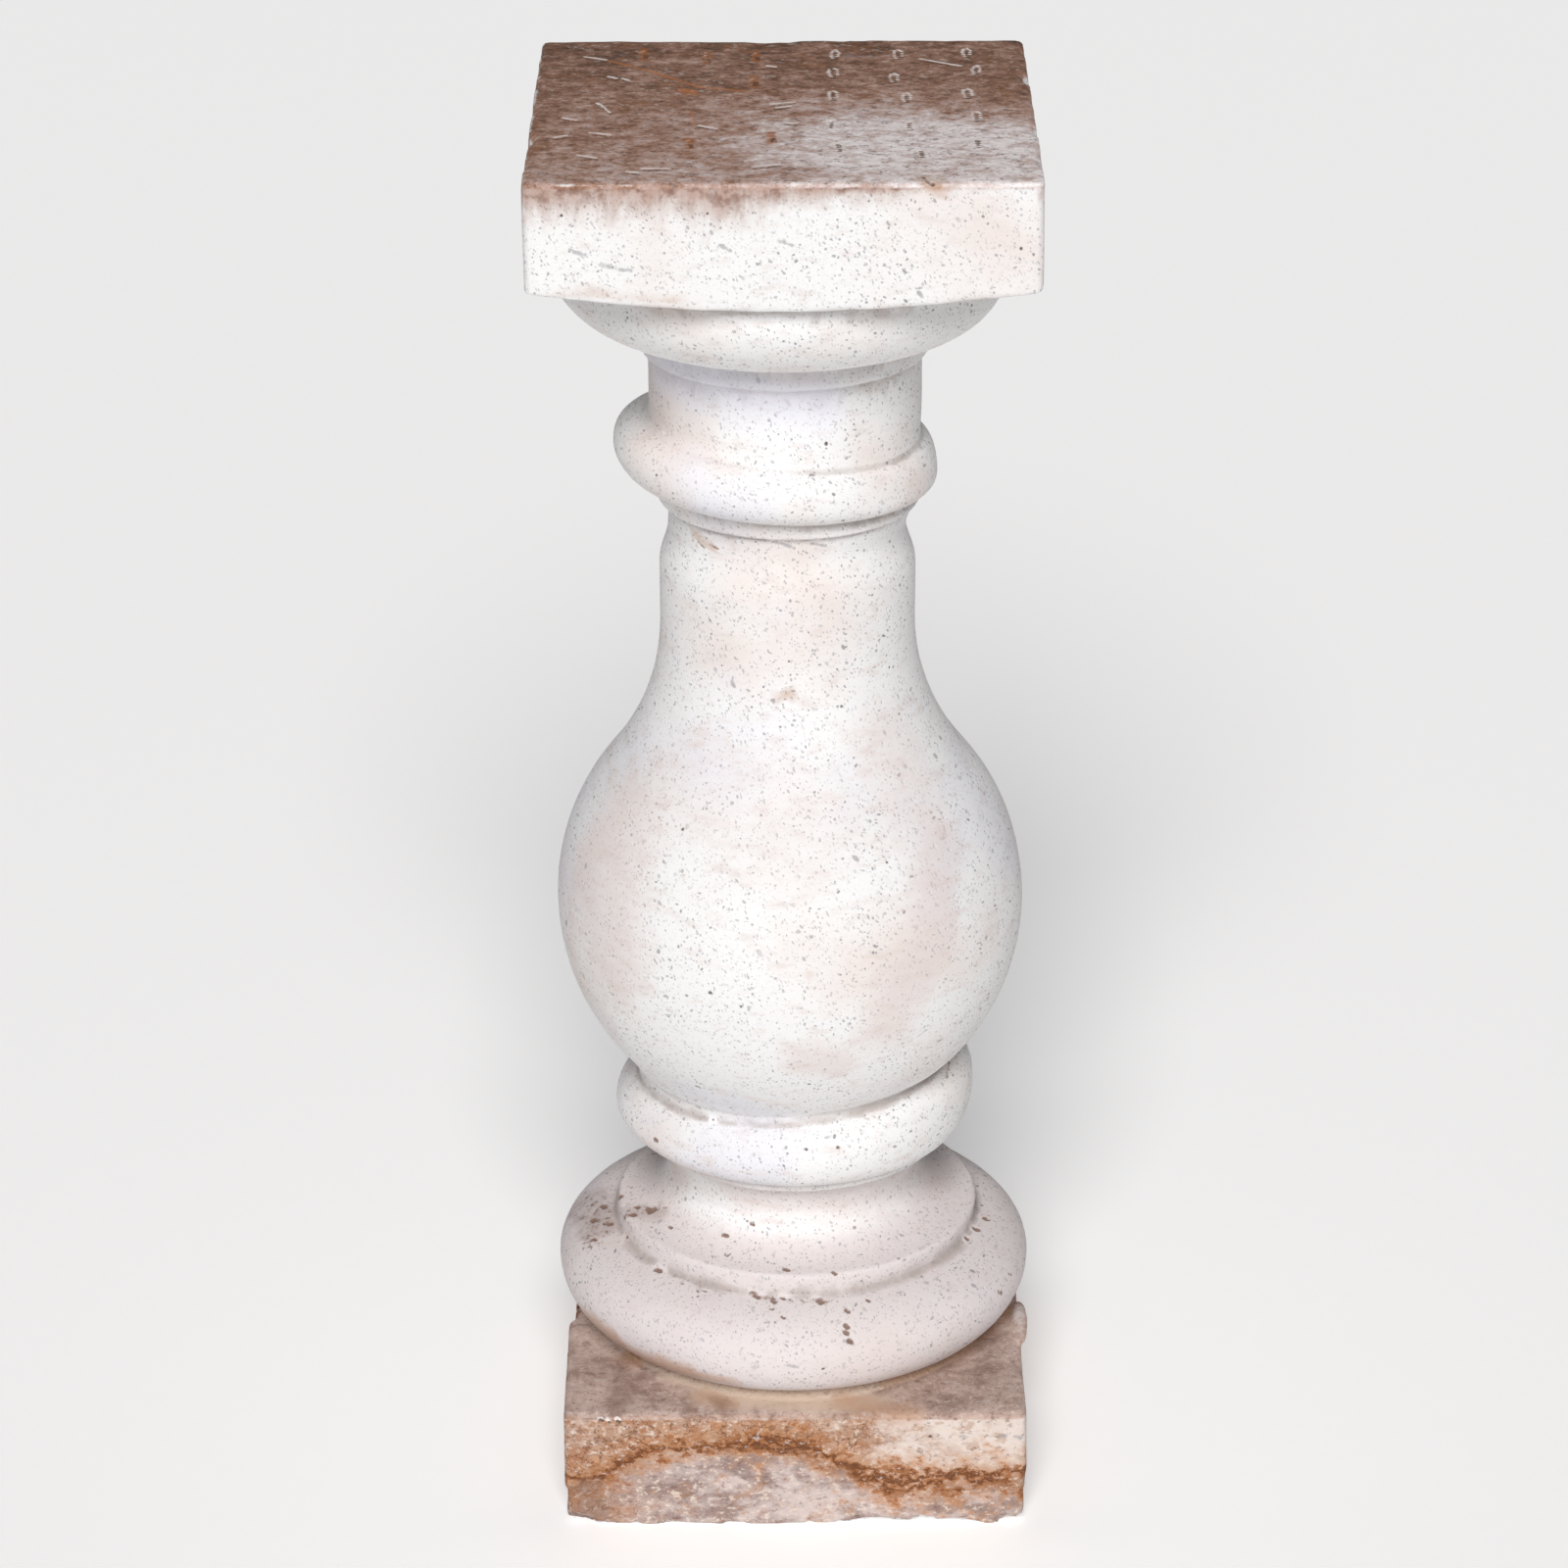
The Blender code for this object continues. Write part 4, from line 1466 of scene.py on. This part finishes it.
@dataclass(frozen=True)
class Clouding:
    """One cloudy pattern in the stone: the size of its bumps, and how they are drawn out."""

    name: str
    size_mm: float
    detail: float
    roughness: float
    stretch: Triple = (1.0, 1.0, 1.0)
    shift: float = 0.0


@dataclass(frozen=True)
class Slivers:
    """One size of crushed marble at the skin.

    The spacing is between neighbours, the width is a share of it, and evenness near 0 makes them
    all alike.
    """

    spacing_mm: float
    width: float
    evenness: float
    axis: int
    strength: float


@dataclass(frozen=True)
class Dressing:
    """How one kind of mark shows: its colour, its strength and how its edge breaks up."""

    stain: Stain
    tint: str
    strength: float
    pattern: str
    bite: float
    soft: float


@dataclass(frozen=True)
class WeatheredCastStone:
    """Cast stone: white cement and crushed marble, tamped in a mould, then out in the weather.

    It is dry and matt, with grey slivers of marble at the skin. Soil has soaked into the top of
    the cap, and iron has run along the foot.
    """

    cement: str = "#eeedec"
    warm_cloud: str = "#e3d5ce"
    cool_cloud: str = "#e2e1ea"
    sandy_band: str = "#d9cbc5"
    grey_grit: str = "#cdc6c3"
    marble_light: str = "#c3c1c2"
    marble_dark: str = "#77757a"
    # Dirt specks on the torus, and painted shade in the hollows.
    dirt_and_hollow_shade: str = "#a3968f"
    # Painted shade in the creases.
    crease_shade: str = "#9d8c83"
    soil_stops: tuple[tuple[float, str], ...] = (
        (0.0, "#fbf3f1"), (0.25, "#d3beb7"), (0.45, "#ba9889"), (0.65, "#9b7460"),
        (0.85, "#765848"), (1.0, "#5a4034"),
    )
    soil_orange: str = "#9c6a48"
    soil_pale: str = "#d9ccc7"
    soil_dark: str = "#4d352b"
    bleed: str = "#b08f80"
    bleed_dark: str = "#7f5c4c"
    base_blush: str = "#d9cbc8"
    ledge_light: str = "#c5a99b"
    ledge_dark: str = "#8f6d5d"
    sand: str = "#dcc9b8"
    sand_dark: str = "#a1866b"
    foot_cream: str = "#ddd0c8"
    marbled_dark: str = "#927c75"
    marbled_light: str = "#d0c2be"
    foot_wash: str = "#a87c5c"
    rust_pale: str = "#bf8e68"
    rust: str = "#a0653a"
    rust_dark: str = "#673b1d"
    masks: tuple[str, ...] = ("top_face", "soil", "bleed", "foot_side", "foot_ledge", "curb",
                              "torus", "rust_height", "wash", "hollow", "crease_shade", "edge")
    cloudings: tuple[Clouding, ...] = (
        Clouding("cloud", 95.0, 3.0, 0.5),
        Clouding("cool", 95.0, 3.0, 0.5, shift=3.0),
        Clouding("coarse", 22.0, 6.0, 0.62),
        Clouding("middle", 7.0, 5.0, 0.65),
        Clouding("fine", 2.2, 4.0, 0.6),
        Clouding("grit", 0.9, 2.0, 0.5),
        Clouding("bands", 6.5, 5.0, 0.65, (2.6, 2.6, 1.0)),
        Clouding("streaks", 7.0, 7.0, 0.7, (1.35, 1.0, 1.0)),
        Clouding("drips", 5.0, 4.0, 0.6, (1.0, 1.0, 3.2)),
        Clouding("veins", 15.0, 7.0, 0.66, (2.0, 2.0, 1.0)),
        Clouding("cracks", 6.5, 5.0, 0.62, (1.4, 1.4, 1.0), shift=1.0),
        Clouding("gritty", 3.0, 4.0, 0.75, (1.5, 1.5, 1.0), shift=2.0),
    )
    slivers: tuple[Slivers, ...] = (
        Slivers(1.5, 0.34, 0.9, 0, 0.60), Slivers(1.7, 0.33, 1.1, 2, 0.65),
        Slivers(2.7, 0.31, 1.5, 1, 0.85), Slivers(8.0, 0.16, 1.6, 0, 0.80),
    )
    sliver_length: float = 2.1
    dressings: tuple[Dressing, ...] = (
        Dressing(Stain.ROSE, "#d8c6c0", 0.60, "bands", 1.4, 0.9),
        Dressing(Stain.LILAC, "#e6e6f5", 0.60, "coarse", 0.8, 0.9),
        Dressing(Stain.SAND, "#d6c2ae", 0.90, "middle", 1.0, 0.6),
        Dressing(Stain.TAN, "#b98c69", 0.80, "middle", 1.0, 0.9),
        Dressing(Stain.UMBER, "#7d6153", 0.80, "middle", 1.2, 0.9),
        Dressing(Stain.GREY, "#8e8d92", 0.60, "fine", 2.0, 0.4),
        # Pale bruises, and painted highlight on pit rims and dashes.
        Dressing(Stain.PALE, "#f2e6e0", 0.90, "fine", 1.3, 0.3),
        Dressing(Stain.ORANGE, "#a8683a", 0.80, "fine", 1.2, 0.4),
        Dressing(Stain.BROWN, "#765544", 0.85, "fine", 1.0, 0.3),
        Dressing(Stain.CRUMB, "#7a5a48", 0.85, "gritty", 3.2, 0.30),
        # Dark pits, and painted shadow beside pits and dashes.
        Dressing(Stain.DARK, "#4f3c33", 0.85, "fine", 0.9, 0.22),
    )
    pore_mm: float = 6.5
    pore_depth_mm: float = 0.30
    grit_mm: float = 0.05
    plain_relief_mm: float = 0.18
    foot_relief_mm: float = 1.10
    top_relief_mm: float = 0.70
    crumb_mm: float = 1.40
    roughness_dry: float = 0.9
    roughness_soiled: float = 0.80
    ior: float = 1.5

    def make(self) -> bpy.types.Material:
        """Build the finish.

        Returns:
            The material.
        """
        bench = NodeBench("cast_stone_white_cement_weathered")
        place = bench.add("TexCoord", out="Object")
        known = bench.known
        known["place"] = place
        for name in self.masks:
            known[name] = bench.add("Attribute", attribute_name=name, out="Fac")
        for cloud in self.cloudings:
            drawn = bench.add("Mapping", place, vector_type="TEXTURE", Scale=cloud.stretch,
                              Location=(cloud.shift,) * 3)
            known[cloud.name] = bench.add("TexNoise", drawn, Scale=1 / (cloud.size_mm * MM),
                                          Detail=cloud.detail, Roughness=cloud.roughness)
        colour = self.clean_stone(bench)
        colour = self.soiled_top(bench, colour)
        colour = self.rusty_foot(bench, colour)
        for dressing in self.dressings:
            held = bench.add("Attribute", attribute_name=dressing.stain.value, out="Fac")
            mask = bench.broken(held, dressing.pattern, dressing.bite, dressing.soft)
            colour = bench.painted(colour, (mask, dressing.strength, dressing.tint))
        damp = bench.add("MapRange", "middle", 0.35, 0.6, **EASE)
        damp = bench.add("Math", damp, "top_face", **TIMES)
        gloss = bench.add("MapRange", damp, To_Min=self.roughness_dry,
                          To_Max=self.roughness_soiled)
        shader = bench.add("BsdfPrincipled", Base_Color=colour, Roughness=gloss, IOR=self.ior,
                           Normal=self.relief(bench))
        bench.add("OutputMaterial", Surface=shader)
        return bench.material

    def marble(self, bench: NodeBench, bent: Socket, size: Slivers) -> tuple[Socket, Socket]:
        """Crushed marble at the skin: slivers of many widths, each with its own shade.

        Args:
            bench: The finish's nodes.
            bent: Where the stone is, bent a little so that the slivers aren't in rows.
            size: Their size.

        Returns:
            The mask of the slivers, and a random shade for each.
        """
        stretch = [size.spacing_mm * MM] * 3
        stretch[size.axis] *= self.sliver_length
        scaled = bench.add("Mapping", bent, vector_type="TEXTURE", Scale=stretch,
                           Rotation=(0.5, 0.9 + size.axis, 0.4))
        cells = bench.add("TexVoronoi", scaled, Scale=1.0).node
        shade = bench.add("SeparateColor", cells.outputs["Color"]).node
        reach = bench.add("Math", shade.outputs[0], size.evenness, operation="POWER")
        rim = bench.add("Math", reach, -size.width, cells.outputs["Distance"], **TIMES_PLUS)
        return bench.add("MapRange", rim, 0.03, -0.05, **EASE), shade.outputs[1]

    def clean_stone(self, bench: NodeBench) -> Socket:
        """The white stone itself: faint clouds, sandy bands, marble, dirt specks on the torus and
        painted shade in the hollows and creases.

        Args:
            bench: The finish's nodes.

        Returns:
            The colour.
        """
        colour = bench.painted(
            self.cement,
            ("cloud", 0.50, 0.74, 0.8, self.warm_cloud),
            ("cool", 0.52, 0.74, 0.6, self.cool_cloud),
            ("bands", 0.50, 0.74, 0.55, self.sandy_band),
            ("grit", 0.52, 0.78, 0.45, self.grey_grit),
            ("torus", 0.65, self.base_blush),
            (bench.add("Math", bench.add("MapRange", "gritty", 0.59, 0.67, **EASE),
                       "torus", **TIMES), 0.45, self.dirt_and_hollow_shade),
            # Painted shade in the hollows and creases, where the light is cut off.
            (bench.broken("hollow", "coarse", 1.2, 0.7), 0.5, self.dirt_and_hollow_shade),
            (bench.broken("crease_shade", "coarse", 1.8, 0.9), 0.55, self.crease_shade))
        sway = bench.add("TexNoise", "place", Scale=1 / (9 * MM), Detail=1.0, out="Color")
        sway = bench.add("VectorMath", sway, (0.5, 0.5, 0.5), operation="SUBTRACT")
        bent = bench.add("VectorMath", sway, (5 * MM,) * 3, "place", **TIMES_PLUS)
        crowd = bench.add("MapRange", "coarse", 0.30, 0.62, 0.45, 1.0, **EASE)
        for size in self.slivers:
            mask, shade = self.marble(bench, bent, size)
            tint = bench.painted(self.marble_dark, (shade, 1.0, self.marble_light))
            here = bench.add("Math", mask, crowd, **TIMES)
            colour = bench.painted(colour, (here, size.strength, tint))
        return colour

    def soiled_top(self, bench: NodeBench, colour: Socket) -> Socket:
        """Brown soil soaked into the cap's top, which bleeds over its sides.

        Args:
            bench: The finish's nodes.
            colour: The stone's colour so far.

        Returns:
            The colour with the soil on it.
        """
        level = bench.add("Math", "streaks", 1.3, "soil", **TIMES_PLUS)
        level = bench.add("Math", "fine", 0.5, level, **TIMES_PLUS)
        level = bench.add("Math", "coarse", 0.7, level, **TIMES_PLUS)
        level = bench.add("Math", level, 1.25, operation="SUBTRACT")
        ramp = bench.add("ValToRGB", level)
        stops = ramp.node.color_ramp.elements
        while len(stops) < len(self.soil_stops):
            stops.new(0.5)
        for stop, (share, tint) in zip(stops, self.soil_stops):
            stop.position = share
            stop.color = linear(tint)
        dirty = bench.add("MapRange", level, 0.25, 0.6, **EASE)
        orange = bench.add("MapRange", "coarse", 0.50, 0.68, **EASE)
        orange = bench.add("Math", orange, dirty, **TIMES)
        soiled = bench.painted(
            ramp, (orange, 0.40, self.soil_orange),
            ("gritty", 0.56, 0.64, 0.40, self.soil_pale),
            ("gritty", 0.45, 0.38, 0.50, self.soil_dark))
        top = bench.broken("top_face", "fine", 0.6, 0.3)
        bled = bench.broken("bleed", "drips", 1.1, 0.6)
        deep = bench.add("Math", bled, 2.5, operation="POWER")
        deep = bench.add("Math", deep,
                         bench.add("MapRange", "middle", 0.42, 0.62, **EASE), **TIMES)
        worn = bench.broken("edge", "middle", 1.8, 0.25)
        return bench.painted(colour, (bled, 0.9, self.bleed), (deep, 0.9, self.bleed_dark),
                            (top, 1.0, soiled), (worn, 0.75, self.cement))

    def rusty_foot(self, bench: NodeBench, colour: Socket) -> Socket:
        """The foot: a mauve brown ledge, a sandy curb, and rust crusts on marbled sides.

        Args:
            bench: The finish's nodes.
            colour: The stone's colour so far.

        Returns:
            The colour with the foot's stains on it.
        """
        height = bench.add("Math", "veins", 4.4, "rust_height", **TIMES_PLUS)
        height = bench.add("Math", height, 2.2, operation="SUBTRACT")
        ragged = bench.add("Math", "cracks", 6.0, height, **TIMES_PLUS)
        away = bench.add("Math", ragged, 3.0, operation="SUBTRACT")
        away = bench.add("Math", away, operation="ABSOLUTE")
        # Thin dark rust lines round the crust's clumps, partly painted shadow at their raised edges.
        crust_outline = bench.add("Math", "cracks", 0.5, operation="SUBTRACT")
        crust_outline = bench.add("Math", crust_outline, operation="ABSOLUTE")
        crust_outline = bench.add("MapRange", crust_outline, 0.022, 0.006, **EASE)
        washed = bench.broken("wash", "veins", 2.4, 0.35)
        rusty = bench.add("MapRange", away, 1.5, 0.35, **EASE)
        crust = bench.add("MapRange", away, 0.85, 0.45, **EASE)
        clump = bench.add("MapRange", away, 0.34, 0.12, **EASE)
        near = bench.add("Math", washed, rusty, operation="MAXIMUM")
        marbled = bench.painted(self.marbled_dark, ("veins", 0.38, 0.60, 1.0, self.marbled_light))
        side = bench.painted(
            self.foot_cream,
            (height, 0.2, -0.6, 1.0, marbled),
            ("middle", 0.48, 0.68, 0.35, self.ledge_light),
            ("cracks", 0.56, 0.64, 0.5, self.foot_wash),
            (washed, 0.8, self.foot_wash),
            ("gritty", 0.53, 0.60, 0.6, self.sand),
            (away, 2.6, 0.5, 0.8, self.rust_pale),
            (bench.add("Math", near, bench.add("MapRange", "middle", 0.55, 0.42, **EASE),
                       **TIMES), 0.6, self.rust),
            (crust, 0.85, self.rust),
            (bench.add("Math", near, crust_outline, **TIMES), 0.8, self.rust_dark),
            (clump, 0.85, self.rust_dark),
            ("gritty", 0.43, 0.36, 0.50, self.rust_dark),
            ("gritty", 0.57, 0.64, 0.55, self.foot_cream))
        ledge = bench.painted(
            self.ledge_dark, ("coarse", 0.32, 0.60, 1.0, self.ledge_light),
            ("gritty", 0.54, 0.62, 0.45, self.soil_pale),
            ("gritty", 0.44, 0.37, 0.45, self.soil_dark),
            # Faint dark crust lines on the ledge, partly painted shadow.
            (crust_outline, 0.35, self.rust_dark))
        sandy = bench.painted(self.sand, ("fine", 0.50, 0.66, 0.6, self.sand_dark))
        stained = bench.broken("foot_side", "middle", 0.4, 0.3)
        return bench.painted(
            colour, (stained, 1.0, side),
            (bench.broken("foot_ledge", "middle", 0.5, 0.3), 0.9, ledge),
            (bench.broken("curb", "fine", 0.8, 0.35), 0.85, sandy))

    def relief(self, bench: NodeBench) -> Socket:
        """Relief too fine for the mesh: grit, pores, and the crumbling of curb, foot and crust.

        The grit is drawn at about 1 mm, three times its true size, so that it shows. All of it
        is one height in millimetres, because each bump node works its patterns out three times.

        Args:
            bench: The finish's nodes.

        Returns:
            The bumped normal.
        """
        pores = bench.add("TexVoronoi", "place", Scale=1 / (self.pore_mm * MM))
        pit = bench.add("MapRange", pores, 0.16, 0.05, **EASE)
        band = bench.add("Math", "rust_height", operation="ABSOLUTE")
        band = bench.add("MapRange", band, 1.8, 0.3, **EASE)
        band = bench.add("Math", band, "foot_side", **TIMES)
        crumbly = bench.add("Math", band, "curb", operation="MAXIMUM")
        lumps = bench.add("Math", "fine", crumbly, **TIMES)
        waves = bench.add("Math", "foot_side", self.foot_relief_mm, self.plain_relief_mm,
                          **TIMES_PLUS)
        waves = bench.add("Math", "top_face", self.top_relief_mm, waves, **TIMES_PLUS)
        height = bench.add("Math", "middle", waves, **TIMES)
        height = bench.add("Math", "grit", self.grit_mm, height, **TIMES_PLUS)
        height = bench.add("Math", pit, -self.pore_depth_mm, height, **TIMES_PLUS)
        height = bench.add("Math", lumps, self.crumb_mm, height, **TIMES_PLUS)
        return bench.add("Bump", 1.0, MM, Height=height)


@dataclass(frozen=True)
class Casting:
    """The whole pedestal, cast in one."""

    name: str = "weathered_baluster"
    node: str = "baluster"
    fine_mm: float = 1.3
    quick_mm: float = 2.6
    triangles: int = 192_000
    thin_steps: int = 8
    thin_factor: float = 0.4
    shaft: TurnedShaft = TurnedShaft()
    cap: CapBlock = CapBlock()
    foot: FootBlock = FootBlock()
    finish: WeatheredCastStone = WeatheredCastStone()

    def blank(self) -> tuple[bpy.types.Object, float]:
        """Join the shaft and blocks into one fine skin.

        Returns:
            The skin's object, and how far it was moved along x to centre its box.
        """
        bodies = [self.shaft.build(), self.cap.build(self.shaft), self.foot.build(self.shaft)]
        joined = bmesh.new()
        for body in bodies:
            joined.from_mesh(body.data)
            bpy.data.objects.remove(body)
        mesh = bpy.data.meshes.new(self.name)
        joined.to_mesh(mesh)
        joined.free()
        top = self.shaft.levels()["cap_top"]
        places = np.array([vertex.co for vertex in mesh.vertices], float)
        places[:, 0] += self.shaft.lean * (0.5 - places[:, 2] / top)
        middle = (places.min(axis=0) + places.max(axis=0)) / 2
        places[:, :2] -= middle[:2]
        mesh.vertices.foreach_set("co", places.astype(np.float32).ravel())
        made = Shape.body(self.name, mesh)
        remesh = made.modifiers.new("Skin", "REMESH")
        remesh.mode = "VOXEL"
        remesh.voxel_size = self.fine_mm * MM
        Shape.settle(made)
        return made, -float(middle[0])

    def thin_out(self, made: bpy.types.Object, detail: np.ndarray) -> None:
        """Bring the skin down to its number of triangles, most of them kept where detail is.

        Args:
            made: The casting.
            detail: How much detail each vertex carries, from 0 to 1.
        """
        count = 2 * len(made.data.polygons)
        if count <= self.triangles:
            return
        group = made.vertex_groups.new(name="plain")
        shares = np.clip(1.0 - detail, 0.0, 1.0)
        levels = np.round(shares * self.thin_steps).astype(int)
        for level in range(self.thin_steps + 1):
            chosen = np.nonzero(levels == level)[0].tolist()
            if chosen:
                group.add(chosen, level / self.thin_steps, "REPLACE")
        thin = made.modifiers.new("Thin", "DECIMATE")
        thin.ratio = self.triangles / count
        thin.vertex_group = group.name
        thin.vertex_group_factor = self.thin_factor
        thin.use_collapse_triangulate = True
        Shape.settle(made)
        made.vertex_groups.clear()

    def build(self) -> bpy.types.Object:
        """Build, weather and dress the casting, and let it stand for the solid.

        Returns:
            The dressed casting.
        """
        made, middle = self.blank()
        LOG.info("blank skin of %d faces", len(made.data.polygons))
        skin = Skin(made.data)
        weathering = Weathering(CastingPlace(self.shaft, middle))
        weathering.wear(skin)
        weathering.break_foot(skin)
        detail = weathering.lay_marks(skin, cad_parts[self.node])
        detail = np.maximum(detail, 0.5 * weathering.soil(skin))
        self.thin_out(made, detail)
        skin = Skin(made.data)
        skin.move(np.clip(skin.places(), CAD_LOW, CAD_HIGH))
        for polygon in made.data.polygons:
            polygon.use_smooth = True
        made.data.materials.clear()
        made.data.materials.append(self.finish.make())
        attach(made, "root")
        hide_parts(self.node)
        LOG.info("%s has %d triangles", made.name, len(made.data.polygons))
        return made


@dataclass(frozen=True)
class Studio:
    """A pale floor under soft light from the front, as for a sale photograph."""

    floor_half: float = 14.0
    floor_colour: str = "#f7f6f5"
    sky_colour: str = "#e4e2f2"
    floor_glow: float = 0.24
    sky_strength: float = 0.06
    key_strength: float = 3.00
    key_spread: float = 0.45

    def add_floor(self) -> None:
        """Lay a plain pale floor of painted board, matt and nearly white."""
        half = self.floor_half
        mesh = bpy.data.meshes.new("studio_floor")
        corners = [(-half, -half, 0), (half, -half, 0), (half, half, 0), (-half, half, 0)]
        mesh.from_pydata(corners, [], [(0, 1, 2, 3)])
        floor = Shape.body("studio_floor", mesh)
        bench = NodeBench("floor_board_matt_white_paint")
        colour = linear(self.floor_colour)
        shader = bench.add("BsdfPrincipled", Base_Color=colour, Roughness=0.95,
                           Emission_Color=colour, Emission_Strength=self.floor_glow)
        bench.add("OutputMaterial", Surface=shader)
        mesh.materials.append(bench.material)
        floor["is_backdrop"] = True

    def add_light(self, name: str, place: Vector, aim: Vector) -> None:
        """Hang a broad soft light, so far off that the floor is lit evenly.

        Args:
            name: Its name.
            place: Where its light comes from.
            aim: What it faces.
        """
        data = bpy.data.lights.new(name, "SUN")
        data.energy = self.key_strength
        data.angle = self.key_spread
        light = bpy.data.objects.new(name, data)
        light.location = place
        light.rotation_mode = "QUATERNION"
        light.rotation_quaternion = (aim - place).to_track_quat("-Z", "Y")
        bpy.context.scene.collection.objects.link(light)

    def build(self) -> None:
        """Add the floor, the sky and the lights."""
        self.add_floor()
        world = bpy.data.worlds.new("soft_sky")
        world.use_nodes = True
        sky = world.node_tree.nodes["Background"]
        sky.inputs["Color"].default_value = linear(self.sky_colour)
        sky.inputs["Strength"].default_value = self.sky_strength
        bpy.context.scene.world = world
        bpy.context.scene.view_settings.view_transform = "Standard"
        middle = Vector((0.0, 0.0, 0.35))
        self.add_light("front_softbox", Vector((-0.12, -3.0, 2.85)), middle)


def main() -> None:
    """Build the camera, the casting and the studio in order."""
    logging.basicConfig(level=logging.INFO, format="%(name)s: %(message)s")
    Camera().add()
    made = Casting().build()
    LOG.info("built %s", made.name)
    Studio().build()
    LOG.info("built the studio")


if __name__ == "__main__":
    main()
